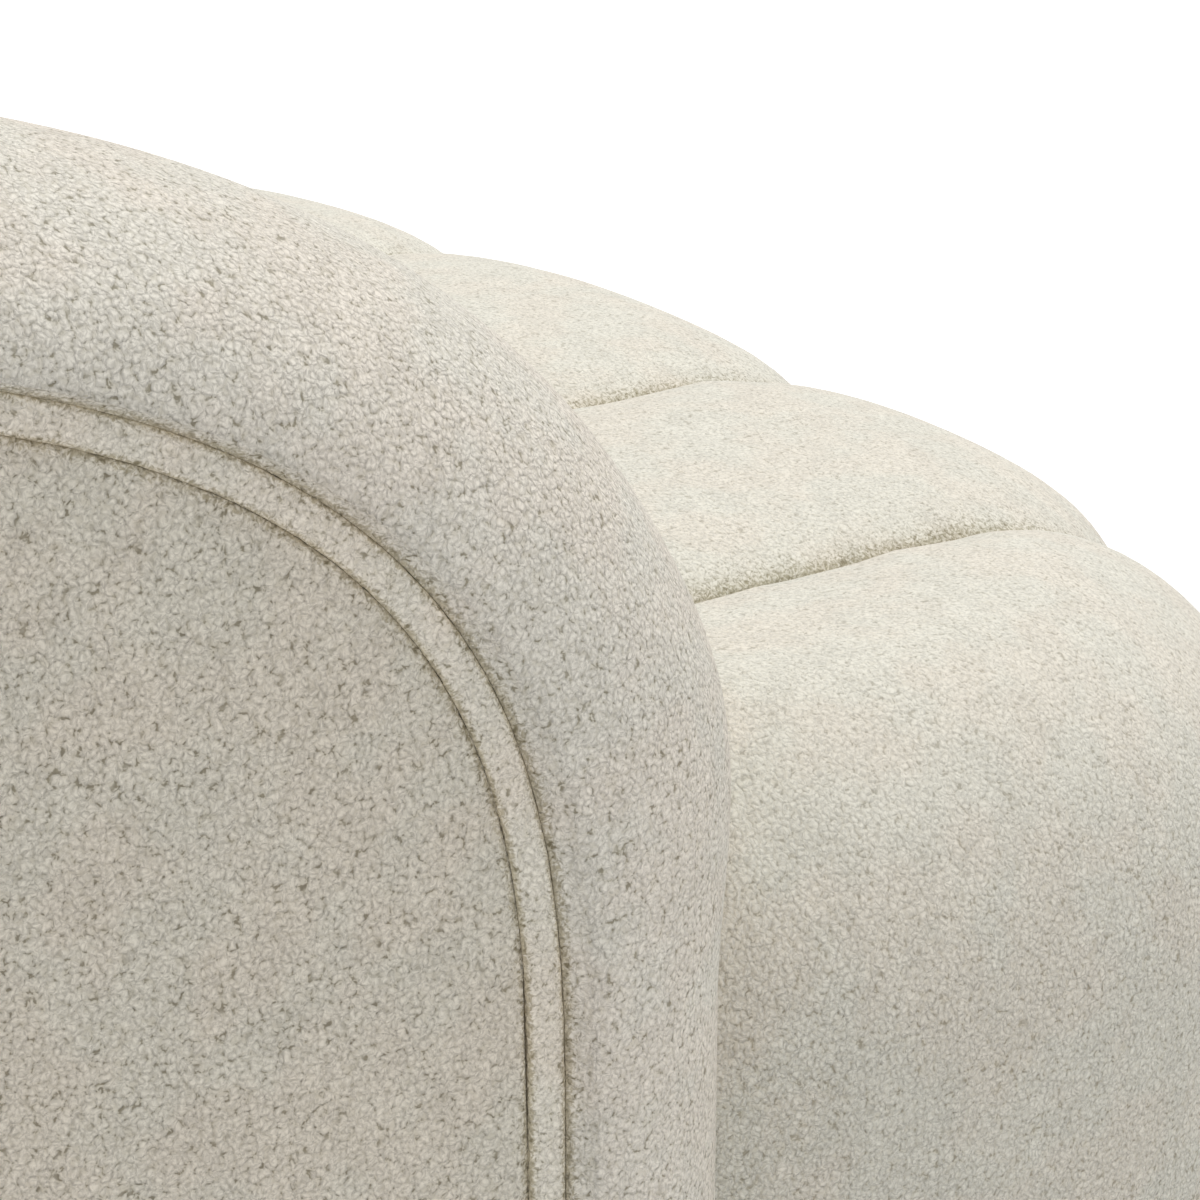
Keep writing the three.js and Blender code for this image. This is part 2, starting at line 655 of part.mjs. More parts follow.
const buildRails = () => {
  const rail = (name, outline) => addPiece(name, beam(outline, railBottom, railTop), looks.wood);
  const frontHalf = straightHalf - gap;
  rail('front_rail', rectangle(-frontHalf, frontHalf, frontRailFront, frontRailBack));
  const rearHalf = -cornerCentreX - gap;
  rail('rear_rail', rectangle(-rearHalf, rearHalf, rearRailFront, backFace + railOutside));
  const [outer, inner] = [formerLine(formerInset), formerLine(formerInset + railWidth)];
  const frontLine = [{ x: 0, y: frontRailBack }, ...inner];
  const rearCorner = placesTo(backStart).map((s) => wrapPoint(s, railBottom, railInside));
  const rearLine = [{ x: 0, y: rearRailFront }, ...rearCorner.reverse()];
  stepsBetween(-frameHalf + railWidth / 2, frameHalf - railWidth / 2, crossRailCount - 1).forEach((x, i) => {
    const sides = [x - railWidth / 2, x + railWidth / 2];
    const front = sides.map((side) => ({ x: side, y: yOn(frontLine, -Math.abs(side)) + gap }));
    const rear = sides.map((side) => ({ x: side, y: yOn(rearLine, -Math.abs(side)) - gap }));
    rail(`cross_rail_${i + 1}`, [...front, ...rear.reverse()]);
  });

  const pair = (name, geometry) => {
    addPiece(`${name}_left`, geometry, looks.wood);
    addPiece(`${name}_right`, mirrored(geometry), looks.wood);
  };
  const wrapRail = (places, foot, top, outside, inside) => (
    wrapSheet({ places, foot, margin: 0, outside, inside, top })
  );
  pair('side_rail', wrapRail([0, cornerStart - gap], railBottom, railTop, railOutside, railInside));
  pair('corner_rail', wrapRail(
    placesTo(backStart - gap), railBottom, railTop, railOutside, railInside,
  ));

  const upright = (line) => line.map((p) => [railBottom, railTop].map((z) => new THREE.Vector3(p.x, p.y, z)));
  pair('front_corner_rail', slabBetween(upright(outer), upright(inner)));

  // Short rails that tie the curved one and the arm's rail to the outermost cross rail
  const [before, end] = inner.slice(-2);
  const from = end.clone().lerp(before, railWidth / Math.abs(end.y - before.y));
  const frontLink = [from, end].map((p) => ({ x: p.x + gap, y: p.y }));
  const armLink = [-1, 1].map((side) => (
    wrapPoint(cornerStart / 2 + (side * railWidth) / 2, railBottom, railInside - gap)
  ));
  for (const [name, ends] of [['front_tie', frontLink], ['arm_tie', armLink]]) {
    const outline = [...ends, ...[...ends].reverse().map(({ y }) => ({ x: -frameHalf - gap, y }))];
    pair(name, beam(outline, railBottom, railTop));
  }

  // Posts between the boards, and the rail on top of the back's posts
  const [postOutside, postInside] = [railOutside, innerBoardBack + gap];
  const post = (from, top) => wrapRail([from, from + postWidth], innerFoot, top, postOutside, postInside);
  pair('arm_post', post(postInset, trimTop));
  pair('back_post', post(placeOfX(-middleSeam) - postWidth / 2, trimTop - topRailHeight - gap));
  const straightBack = bothSides([backStart, middle]);
  const topRail = wrapRail(straightBack, trimTop - topRailHeight, trimTop, postOutside, postInside);
  addPiece('back_top_rail', topRail, looks.wood);
  return { outer, inner };
};

const buildWebbing = () => {
  const pitch = (foamBack - frontRailBack) / strapCount;
  for (let i = 0; i < strapCount; i++) {
    const y = frontRailBack + pitch * i + (pitch - strapWidth) / 2;
    const outline = rectangle(-frameHalf, frameHalf, y, y + strapWidth);
    const strap = beam(outline, innerFoot, innerFoot + strapThickness);
    addPiece(`webbing_strap_${i + 1}`, strap, looks.webbing);
  }
};

// The dust cover lies flat under the frame, inside the cloth's foot.
const buildCover = ({ outer }) => {
  const left = [
    ...outer.map((p, i) => (i ? p.clone().setX(p.x + coverMargin) : p.clone().setY(p.y + coverMargin))),
    ...[0, ...cornerPlaces].map((s) => wrapPoint(s, railBottom, railOutside - coverMargin)),
  ];
  const right = [...left].reverse().map((p) => ({ x: -p.x, y: p.y }));
  const shape = new THREE.Shape([...left, ...right].map((p) => new THREE.Vector2(p.x, p.y)));
  const sheet = new THREE.ExtrudeGeometry(shape, { depth: coverThickness, bevelEnabled: false, steps: 1 });
  sheet.translate(0, 0, footHeight + gap);
  sheet.deleteAttribute('uv');
  sheet.deleteAttribute('normal');
  const merged = mergeVertices(sheet);
  merged.computeVertexNormals();
  addPiece('dust_cover', merged, looks.cover);
};

// Four round feet, under the corners.
const buildFeet = ({ outer, inner }) => {
  const half = Math.round(formerSteps / 2);
  const frontCorner = outer[half].clone().lerp(inner[half], 1 / 2);
  const rearCorner = wrapPoint((cornerStart + backStart) / 2, railBottom, (railOutside + railInside) / 2);
  const places = [
    ['front_left', frontCorner.x, frontCorner.y], ['front_right', -frontCorner.x, frontCorner.y],
    ['rear_left', rearCorner.x, rearCorner.y], ['rear_right', -rearCorner.x, rearCorner.y],
  ];
  const levels = [[0, footBottomRadius - footRim], [footRim, footBottomRadius], [footHeight, footTopRadius]];
  const turns = stepsBetween(0, 2 * Math.PI, footSides).slice(0, -1);
  for (const [name, x, y] of places) {
    const rings = levels.map(([z, radius]) => (
      turns.map((turn) => new THREE.Vector3(x + radius * Math.cos(turn), y + radius * Math.sin(turn), z))
    ));
    addPiece(`foot_${name}`, loftThrough(rings), looks.footWood);
  }
};

buildRolls();
buildPiping();
buildOuterPanels();
buildBoards();
buildInnerPads();
const space = wrapSpace();
buildSeat(space);
buildFoam(space);
const corners = buildRails();
buildWebbing();
buildCover(corners);
buildFeet(corners);

export default sofa;
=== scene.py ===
# Tuxedo sofa in curly cream boucle: channelled seat, wrapped arms and back with a thick piped roll.
# Lengths in the dictionaries are millimetres, as in the solids. Meshes, a material's reach, the camera
# and the room are in metres.
import math

import bmesh
import bpy
import numpy as np
from mathutils import Matrix, Vector, noise


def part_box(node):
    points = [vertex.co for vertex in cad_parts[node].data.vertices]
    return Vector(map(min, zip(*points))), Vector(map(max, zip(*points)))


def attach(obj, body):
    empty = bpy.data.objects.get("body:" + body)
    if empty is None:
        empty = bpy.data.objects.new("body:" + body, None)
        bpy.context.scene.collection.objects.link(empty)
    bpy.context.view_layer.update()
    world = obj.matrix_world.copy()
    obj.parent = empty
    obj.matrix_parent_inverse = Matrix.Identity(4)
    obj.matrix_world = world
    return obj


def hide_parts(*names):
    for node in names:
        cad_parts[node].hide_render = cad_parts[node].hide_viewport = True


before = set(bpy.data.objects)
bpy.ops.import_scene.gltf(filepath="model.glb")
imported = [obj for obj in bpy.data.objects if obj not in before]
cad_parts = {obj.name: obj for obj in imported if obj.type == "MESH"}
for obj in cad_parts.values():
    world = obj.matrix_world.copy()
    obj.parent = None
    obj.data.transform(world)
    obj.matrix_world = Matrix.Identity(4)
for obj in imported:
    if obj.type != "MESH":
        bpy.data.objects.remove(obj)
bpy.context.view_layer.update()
scene = bpy.context.scene
mm = 0.001
quarter = math.pi / 2
print("frame loaded:", len(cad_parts), "nodes")

# The whole sofa's sizes, as the solids have them
sofa = {
    "middleSeam": 145,  # seat seams, from the middle line
    "cornerSeam": 374,
    "armFrontX": 575,
    "depth": 970,
    "seatAhead": 404.975,  # how far the seat's front stands ahead of the arm's
    "flare": math.radians(12),  # each arm opens towards the front
    "wrapThickness": 184,
    "wrapCornerRadius": 300.02,
    "clothFoot": 64,  # lowest edge of the cloth
    "innerFoot": 214.7,
    "trimTop": 610, "archRun": 439, "archRise": 298, "archPower": 3.1,
    "rollTop": 66, "rollFront": 111, "rollFoot": 94, "rollBulge": 6,
    "pipingRadius": 6.5,
    "pipingGap": 0.03,  # between the piping and the cloth beside it
    "seamGap": 0.15,  # half the gap between two pieces that meet at a seam
    "cornerSteps": 10,
}
middleSeam, cornerSeam, seamGap = sofa["middleSeam"], sofa["cornerSeam"], sofa["seamGap"]
seatFront = -sofa["depth"] / 2
backFace = sofa["depth"] / 2 - sofa["rollBulge"]
armFrontY = seatFront + sofa["seatAhead"] + sofa["rollFront"] * math.cos(sofa["flare"])
archFoot = sofa["trimTop"] - sofa["archRise"]


def smoothStep(value):
    value = min(max(value, 0.0), 1.0)
    return value * value * (3 - 2 * value)


def lerp(a, b, share):
    return a + (b - a) * share


def steps(start, end, count):
    return [start + (end - start) * i / count for i in range(count + 1)]


def swell(share, power):
    # Height of a rounded crest: 0 at its edge, 1 from a share of 1 on
    return (1 - abs(1 - min(share, 1)) ** power) ** (1 / power)


def addObject(name, data):
    item = bpy.data.objects.new(name, data)
    scene.collection.objects.link(item)
    return item


# Camera: outside the near arm and above it, turned to the seat's far front corner
cameraView = {
    "place": (-1.4532, 0.6451, 0.8953),
    "forward": (0.7602, -0.5523, -0.3420),
    "lens": 110.37, "sensor": 36, "clipEnd": 60,
}


def addCamera(values):
    data = bpy.data.cameras.new("photoCamera")
    data.sensor_width = values["sensor"]
    data.lens = values["lens"]
    data.clip_end = values["clipEnd"]
    camera = addObject("photoCamera", data)
    forward = Vector(values["forward"]).normalized()
    right = forward.cross(Vector((0, 0, 1))).normalized()
    up = right.cross(forward)
    turn = Matrix((right, up, -forward)).transposed().to_4x4()
    camera.matrix_world = Matrix.Translation(values["place"]) @ turn
    scene.camera = camera


addCamera(cameraView)
print("camera placed")


# Node groups and materials

class NodeTree:
    # Adds a node with its values and links in one call; a value may be another node's socket
    def __init__(self, owner):
        self.owner = owner

    def put(self, target, value):
        if isinstance(value, bpy.types.NodeSocket):
            self.owner.links.new(value, target)
        elif value is not None:
            target.default_value = value

    def add(self, kind, settings=None, *first, **named):
        # The first inputs go by their order, the others by name, with _ for a space
        node = self.owner.nodes.new(kind)
        for key, value in (settings or {}).items():
            setattr(node, key, value)
        for index, value in enumerate(first):
            self.put(node.inputs[index], value)
        for key, value in named.items():
            self.put(node.inputs[key.replace("_", " ")], value)
        return node

    def math(self, operation, a, b=None):
        return self.add("ShaderNodeMath", {"operation": operation}, a, b).outputs[0]

    def vector(self, operation, *values, **named):
        return self.add("ShaderNodeVectorMath", {"operation": operation}, *values, **named).outputs[0]

    def mapRange(self, value, *ends):
        # From low and high, and then to 0 and 1 or to the two ends given
        return self.add("ShaderNodeMapRange", {"interpolation_type": "SMOOTHSTEP"}, value, *ends).outputs[0]

    def mixColor(self, factor, a, b, blend="MIX"):
        node = self.add("ShaderNodeMix", {"data_type": "RGBA", "blend_type": blend}, Factor=factor, A=a, B=b)
        return node.outputs["Result"]

    def dimmed(self, color, brightness):
        grey = self.add("ShaderNodeCombineColor", Red=brightness, Green=brightness, Blue=brightness)
        return self.mixColor(1.0, color, grey.outputs[0], "MULTIPLY")

    def noise(self, vector, scale, detail=2.0, roughness=0.6, distortion=0.0):
        return self.add("ShaderNodeTexNoise", Vector=vector, Scale=scale, Detail=detail,
                        Roughness=roughness, Distortion=distortion)

    def stray(self, value, amount):
        # A noise around one half, turned over and set around zero
        return self.math("MULTIPLY", self.math("SUBTRACT", 0.5, value), amount)

    def giveOut(self, **values):
        for key, value in values.items():
            self.put(self.exit.inputs[key], value)


def newGroup(name, inputs, outputs):
    # Inputs come with their first values; every output is one number
    group = bpy.data.node_groups.new(name, "ShaderNodeTree")
    for socketName, value in inputs.items():
        kind = "NodeSocketVector" if isinstance(value, tuple) else "NodeSocketFloat"
        group.interface.new_socket(name=socketName, in_out="INPUT", socket_type=kind).default_value = value
    for socketName in outputs:
        group.interface.new_socket(name=socketName, in_out="OUTPUT", socket_type="NodeSocketFloat")
    tree = NodeTree(group)
    tree.entry = group.nodes.new("NodeGroupInput")
    tree.exit = group.nodes.new("NodeGroupOutput")
    return group, tree


def addMaterial(name, **surface):
    material = bpy.data.materials.new(name)
    material.use_nodes = True
    material.node_tree.nodes.clear()
    tree = NodeTree(material.node_tree)
    shader = tree.add("ShaderNodeBsdfPrincipled", **surface)
    tree.add("ShaderNodeOutputMaterial", None, shader.outputs[0])
    return material, tree, shader


def objectPlace(tree):
    return tree.vector("SCALE", tree.add("ShaderNodeTexCoord").outputs["Object"], Scale=1 / mm)


def finishSurface(tree, shader, color, roughness, strength, reach, height):
    bump = tree.add("ShaderNodeBump", Strength=strength, Distance=reach, Height=height)
    for key, value in (("Base Color", color), ("Roughness", roughness), ("Normal", bump.outputs[0])):
        tree.put(shader.inputs[key], value)


# Curls of the boucle: small tufts of looped yarn, with painted shade in the short gaps where they part.
# A tuft's middle is 0, its edge about 1. Scales are per curl, those of tint and patch per mm.
curlShape = {
    "drift": 0.55,  # scale of the slow push that bends the tufts
    "fibre": 1.5, "fibreTwist": 0.7,
    "raggedness": 0.9,  # how far the fibres fray a gap's edge
    "gapEdge": 0.24,  # how softly a gap begins
    "parting": (0.34, 0.60, 0.45, 1.0),  # drift, and how dark the painted gap shade is there
    # painted shade in the creases round each tuft: where it begins and ends, and how dark it gets
    "creaseFrom": 0.24, "creaseTo": 0.14, "creaseShadeDepth": 0.38,
    "dome": (0.85, 0.10), "fibreHeight": 0.55,
    "tint": 0.022, "patch": 0.07,
}


def buildCurls():
    inputs = {"Place": (0, 0, 0), "Curl Size": 2.5, "Twist": 2.2, "Openness": 0.44}
    group, tree = newGroup("boucleCurls", inputs, ("Height", "Gap", "Fibre", "Tint", "Patch"))
    shape = curlShape
    place, size, twist, start = (tree.entry.outputs[i] for i in range(4))
    frequency = tree.math("DIVIDE", 1.0, size)
    drift = tree.noise(place, tree.math("MULTIPLY", frequency, shape["drift"]), 1.0, 0.5)
    centred = tree.vector("SUBTRACT", drift.outputs["Color"], (0.5, 0.5, 0.5))
    push = tree.vector("SCALE", centred, Scale=tree.math("MULTIPLY", twist, size))
    warped = tree.vector("ADD", place, push)
    away = tree.add("ShaderNodeTexVoronoi", {"feature": "F1", "voronoi_dimensions": "3D"}, Vector=warped,
                    Scale=frequency, Randomness=1.0).outputs["Distance"]
    fibre = tree.noise(warped, tree.math("MULTIPLY", frequency, shape["fibre"]),
                       distortion=shape["fibreTwist"]).outputs["Fac"]
    ragged = tree.math("ADD", away, tree.stray(fibre, shape["raggedness"]))
    # painted shade in the gaps between tufts
    gap = tree.mapRange(ragged, start, tree.math("ADD", start, shape["gapEdge"]))
    gap = tree.math("MULTIPLY", gap, tree.mapRange(drift.outputs["Fac"], *shape["parting"]))
    # and painted shade in the creases round each tuft
    creaseShade = tree.mapRange(away, tree.math("SUBTRACT", start, shape["creaseFrom"]),
                           tree.math("ADD", start, shape["creaseTo"]), 0.0, shape["creaseShadeDepth"])
    dome = tree.mapRange(away, *shape["dome"])
    tree.giveOut(Height=tree.math("ADD", dome, tree.math("MULTIPLY", fibre, shape["fibreHeight"])),
                 Gap=tree.math("MAXIMUM", gap, creaseShade), Fibre=fibre,
                 Tint=tree.noise(place, shape["tint"]).outputs["Fac"],
                 Patch=tree.noise(place, shape["patch"]).outputs["Fac"])
    return group


curls = buildCurls()

# The boucle of each kind of piece, where it differs from the values below. These are lit and shaded copies
# of one cloth: each piece's colours are set lighter, darker or warmer as painted light and shade, the
# piping's lightest.
litAndShadedLooks = {
    "roll": {"light": (0.89, 0.84, 0.75), "gap": (0.37, 0.335, 0.255), "topShare": 0.9},
    "panel": {"light": (0.84, 0.785, 0.68), "gap": (0.34, 0.305, 0.23), "openness": 0.65},
    "piping": {"light": (0.95, 0.89, 0.78), "gap": (0.43, 0.39, 0.30), "size": 1.9, "openness": 0.67,
               "reach": 0.0009},
    "seat": {"light": (0.82, 0.785, 0.695), "gap": (0.45, 0.41, 0.325), "groove": (0.69, 0.66, 0.55),
             "reach": 0.0011, "topShare": 0.62},
    "inner": {"light": (0.87, 0.835, 0.75), "gap": (0.46, 0.425, 0.34), "groove": (0.69, 0.66, 0.55),
              "size": 2.0, "openness": 0.67},
}
boucleValues = {
    "size": 2.05, "openness": 0.66, "twist": 1.4, "bump": 0.9, "reach": 0.0010,  # reach: depth of relief
    "topShare": 0.8,  # how much of the painted gap shade and of the relief is left on an upward face
    "upward": (0.1, 0.9),  # height of the normal from where a face turns up to where it is level
    "yarn": (0.34, 0.62, 0.80, 1.04),  # fibre noise, and the brightness it gives
    "patch": (0.3, 0.7, 0.96, 1.02),
    "tint": (0.4, 0.6), "warm": (1.0, 0.982, 0.965), "cool": (0.982, 0.992, 0.985),
    # painted shade in the grooves beside the piping and seams: its colour, and how raggedly it fades
    "groove": (0.73, 0.69, 0.58), "paintedShadeStray": 2.0, "paintedShadeFade": (0.30, 0.95),
    "rough": (0.1, 0.9, 1.0, 0.88),
    "sheen": 0.12, "specular": 0.1,
}


def boucleMaterial(name, look):
    values = {**boucleValues, **look}
    bump, topShare = values["bump"], values["topShare"]
    material, tree, shader = addMaterial(
        name, Sheen_Weight=values["sheen"], Specular_IOR_Level=values["specular"])
    curl = tree.add("ShaderNodeGroup", {"node_tree": curls}, objectPlace(tree),
                    *(values[key] for key in ("size", "twist", "openness"))).outputs
    # light falls into the pile from above, so the painted gap shade is weaker on upward faces: painted light
    # on the tops
    normal = tree.add("ShaderNodeNewGeometry").outputs["Normal"]
    upward = tree.add("ShaderNodeSeparateXYZ", Vector=normal).outputs["Z"]
    gapShadeOnFace = tree.mapRange(upward, *values["upward"], 1.0, topShare)
    gap = tree.math("MULTIPLY", curl["Gap"], gapShadeOnFace)
    # the tuft colour turns to the gap colour where the painted gap shade lies
    cloth = tree.mixColor(gap, (*values["light"], 1), (*values["gap"], 1))
    yarn = tree.mapRange(curl["Fibre"], *values["yarn"])
    cloth = tree.dimmed(cloth, tree.math("MULTIPLY", yarn, tree.mapRange(curl["Patch"], *values["patch"])))
    tint = tree.mapRange(curl["Tint"], *values["tint"])
    tint = tree.mixColor(tint, (*values["warm"], 1), (*values["cool"], 1))
    cloth = tree.mixColor(1.0, cloth, tint, "MULTIPLY")
    # painted shade in the grooves beside the piping and seams: its amount comes with the mesh
    groove = tree.add("ShaderNodeAttribute", {"attribute_name": "groove"}).outputs["Fac"]
    groove = tree.math("ADD", groove, tree.stray(curl["Fibre"], values["paintedShadeStray"]))
    shade = tree.mixColor(tree.mapRange(groove, *values["paintedShadeFade"]), (1, 1, 1, 1), (*values["groove"], 1))
    relief = tree.mapRange(upward, *values["upward"], bump, bump * topShare ** 2)
    finishSurface(tree, shader, tree.mixColor(1.0, cloth, shade, "MULTIPLY"),
                  tree.mapRange(curl["Height"], *values["rough"]), relief, values["reach"], curl["Height"])
    return material


# one material for each piece, lit or shaded by its painted colours
fabrics = {key: boucleMaterial("boucle" + key.capitalize(), look) for key, look in litAndShadedLooks.items()}


# Wood: long grain along one axis, with fine pores
def buildWoodGrain():
    group, tree = newGroup("woodGrain", {"Place": (0, 0, 0), "Stretch": (1, 1, 1), "Ring Width": 9.0},
                           ("Ring", "Pore"))
    place, stretch, width = (tree.entry.outputs[i] for i in range(3))
    place = tree.vector("MULTIPLY", place, stretch)
    drift = tree.noise(place, 0.02, roughness=0.5).outputs["Fac"]
    wave = tree.add("ShaderNodeTexWave", {"wave_type": "RINGS", "rings_direction": "X"}, Vector=place,
                    Scale=tree.math("DIVIDE", 1.0, width), Distortion=tree.math("MULTIPLY", drift, 8.0),
                    Detail=3.0)
    tree.giveOut(Ring=wave.outputs["Fac"], Pore=tree.noise(place, 0.9, 3.0, 0.7).outputs["Fac"])
    return group


woodGrain = buildWoodGrain()
woodLooks = {
    "frameWood": {"dark": (0.34, 0.21, 0.10), "light": (0.62, 0.44, 0.25), "rough": 0.72,
                  "stretch": (0.05, 1, 1)},
    "footWood": {"dark": (0.012, 0.009, 0.007), "light": (0.040, 0.028, 0.020), "rough": 0.42,
                 "stretch": (1, 1, 0.06)},
}
woodValues = {
    "poreShade": (0.25, 0.75, 0.78, 1.06),
    "poreRange": (0.2, 0.8), "poreRough": 0.12, "woodSmooth": 0.06,  # rougher in a pore
    "bump": 0.25, "reach": 0.0004,
}


def woodMaterial(name, look):
    material, tree, shader = addMaterial(name)
    values = woodValues
    grain = tree.add("ShaderNodeGroup", {"node_tree": woodGrain}, objectPlace(tree), look["stretch"]).outputs
    base = tree.mixColor(grain["Ring"], (*look["dark"], 1), (*look["light"], 1))
    base = tree.dimmed(base, tree.mapRange(grain["Pore"], *values["poreShade"]))
    rough = tree.mapRange(grain["Pore"], *values["poreRange"],
                          look["rough"] + values["poreRough"], look["rough"] - values["woodSmooth"])
    finishSurface(tree, shader, base, rough, values["bump"], values["reach"], grain["Pore"])
    return material


woods = {key: woodMaterial(key, look) for key, look in woodLooks.items()}


# A plain weave, for the webbing and the lining under the frame
def buildWeave():
    group, tree = newGroup("plainWeave", {"Place": (0, 0, 0), "Thread": 1.2}, ("Height", "Fade"))
    place, thread = (tree.entry.outputs[i] for i in range(2))
    scaled = tree.vector("SCALE", place, Scale=tree.math("DIVIDE", math.pi, thread))
    split = tree.add("ShaderNodeSeparateXYZ", Vector=scaled).outputs
    over, under = (tree.math("ABSOLUTE", tree.math("SINE", split[i])) for i in range(2))
    tree.giveOut(Height=tree.math("MAXIMUM", over, under), Fade=tree.noise(place, 0.05, 3.0).outputs["Fac"])
    return group


weave = buildWeave()
weaveLooks = {
    "webbing": {"dark": (0.16, 0.11, 0.07), "light": (0.34, 0.27, 0.19), "thread": 1.6},
    "lining": {"dark": (0.008, 0.008, 0.009), "light": (0.028, 0.028, 0.030), "thread": 0.9},
}
weaveValues = {"fade": (0.3, 0.7, 0.8, 1.0), "rough": (0.2, 0.8, 0.95, 0.85), "bump": 0.5, "reach": 0.0004}


def weaveMaterial(name, look):
    material, tree, shader = addMaterial(name)
    cloth = tree.add("ShaderNodeGroup", {"node_tree": weave}, objectPlace(tree), look["thread"]).outputs
    values = weaveValues
    # darker where the threads dip, as painted shade, with tone that differs at random
    threadShadeAndTone = tree.math("MULTIPLY", cloth["Height"], tree.mapRange(cloth["Fade"], *values["fade"]))
    color = tree.mixColor(threadShadeAndTone, (*look["dark"], 1), (*look["light"], 1))
    rough = tree.mapRange(cloth["Fade"], *values["rough"])
    finishSurface(tree, shader, color, rough, values["bump"], values["reach"], cloth["Height"])
    return material


weaves = {key: weaveMaterial(key, look) for key, look in weaveLooks.items()}


# Foam: open pores in a pale yellow block, darker in each pore as painted shade
foamLook = {
    "pore": (0.52, 0.44, 0.24), "light": (0.80, 0.73, 0.48), "poreScale": 0.9, "poreEdge": (0.05, 0.55),
    "rough": (0.0, 1.0, 1.0, 0.9), "bump": 0.5, "reach": 0.0006,
}


def foamMaterial(name, look):
    material, tree, shader = addMaterial(name)
    pores = tree.add("ShaderNodeTexVoronoi", {"voronoi_dimensions": "3D"}, Vector=objectPlace(tree),
                     Scale=look["poreScale"], Randomness=1.0)
    depth = tree.mapRange(pores.outputs["Distance"], *look["poreEdge"])
    # the pores' darker colour is painted shade
    finishSurface(tree, shader, tree.mixColor(depth, (*look["pore"], 1), (*look["light"], 1)),
                  tree.mapRange(depth, *look["rough"]), look["bump"], look["reach"], depth)
    return material


foam = foamMaterial("seatFoam", foamLook)
print("materials made")


# The wrap's path in plan, for the viewer's left half; beyond the middle it is mirrored
wrapRadius, flare = sofa["wrapCornerRadius"], sofa["flare"]
archRun, archRise, archPower = sofa["archRun"], sofa["archRise"], sofa["archPower"]
cornerCentreY = backFace - wrapRadius
cornerStart = (cornerCentreY + wrapRadius * math.sin(flare) - armFrontY) / math.cos(flare)
cornerCentreX = -sofa["armFrontX"] + math.sin(flare) * cornerStart + math.cos(flare) * wrapRadius
backStart = cornerStart + wrapRadius * (quarter - flare)
middle = backStart - cornerCentreX
panelSeam = next(s for s in steps(cornerStart, backStart, sofa["cornerSteps"])
                 if s > archRun + sofa["pipingRadius"])


def planOf(s):
    # Place and outward direction of the wrap's face, at a way s from the arm's front
    if s > middle:
        x, y, nx, ny = planOf(2 * middle - s)
        return -x, y, -nx, ny
    if s <= cornerStart:
        return (-sofa["armFrontX"] + math.sin(flare) * s, armFrontY + math.cos(flare) * s,
                -math.cos(flare), math.sin(flare))
    if s <= backStart:
        turn = math.pi - flare - (s - cornerStart) / wrapRadius
        nx, ny = math.cos(turn), math.sin(turn)
        return cornerCentreX + nx * wrapRadius, cornerCentreY + ny * wrapRadius, nx, ny
    return cornerCentreX + s - backStart, backFace, 0.0, 1.0


def wrapPoint(s, z, out):
    x, y, nx, ny = planOf(s)
    return (x + nx * out, y + ny * out, z)


def mirroredPlaces(half):
    # A run of places up to the middle, and the same on its far side
    return half + [2 * middle - s for s in reversed(half[:-1])]


# The piping's line in the unrolled face, as (s, z, front, up): up the arm's front and on along the top
pathValues = {
    "archSamples": 400, "cornerSamples": 300,  # of the line, before it is evened out
    "sheetSamples": 240, "columnSamples": 900, "borderSamples": 160,
    "leastColumn": 1.5,
    "rowPower": 1.35,  # the rows of a sheet draw together towards its top
}


def archPoint(turn):
    ahead, upward = max(math.cos(turn), 0.0), math.sin(turn)
    front, up = ahead ** (2 - 2 / archPower) / archRun, upward ** (2 - 2 / archPower) / archRise
    size = math.hypot(front, up)
    return (archRun * (1 - ahead ** (2 / archPower)), archFoot + archRise * upward ** (2 / archPower),
            front / size, up / size)


def edgeAt(s):
    if s >= archRun:
        return (s, sofa["trimTop"], 0.0, 1.0)
    return archPoint(math.acos((1 - s / archRun) ** (archPower / 2)))


def archTurn(turn):
    if turn >= quarter:
        return quarter
    return math.atan((archRise / archRun * math.tan(turn)) ** (archPower / (2 * archPower - 2)))


def edgeLine(end, spacing):
    # The line from the cloth's foot to a place s, at a nearly even spacing
    foot = sofa["clothFoot"]
    line = [(0.0, z, 1.0, 0.0) for z in steps(foot, archFoot, round((archFoot - foot) / spacing))[:-1]]
    dense = [archPoint(archTurn(turn)) for turn in steps(0, quarter, pathValues["archSamples"])]
    dense = [e for e in dense if e[0] < cornerStart]
    dense += [edgeAt(s) for s in steps(cornerStart, end, pathValues["cornerSamples"])]
    for e in dense[:-1]:
        if math.hypot(e[0] - line[-1][0], e[1] - line[-1][1]) >= spacing:
            line.append(e)
    line.append(dense[-1])
    return line


# Mesh making

def softness(x, y, z, size, seed):
    # Slow unevenness of stuffed cloth, about -1 to 1
    return noise.noise(Vector((x / size + seed, y / size - seed, z / size + 3.1 * seed))) * 1.6


def unevenAt(values, place, seed):
    return values["unevenness"] * softness(*place, values["unevenSize"], seed)


def grooveShade(distance, width):
    # Amount of painted shade in a groove: 1 at a seam's bottom, fading over the width
    return math.exp(-((max(distance, 0) / width) ** 1.3))


def makeMesh(name, points, faces, material, grooveShades=None):
    mesh = bpy.data.meshes.new(name)
    mesh.from_pydata((np.array(points) * mm).tolist(), [], faces)
    mesh.validate()
    mesh.polygons.foreach_set("use_smooth", [True] * len(mesh.polygons))
    mesh.materials.append(material)
    # the groove attribute carries each point's amount of painted groove shade
    if grooveShades is not None:
        mesh.attributes.new("groove", "FLOAT", "POINT").data.foreach_set("value", list(grooveShades))
    mesh.update()
    facesOutward(mesh)
    return addObject(name, mesh)


def readPoints(mesh):
    points = np.empty(len(mesh.vertices) * 3)
    mesh.vertices.foreach_get("co", points)
    return points.reshape(-1, 3)


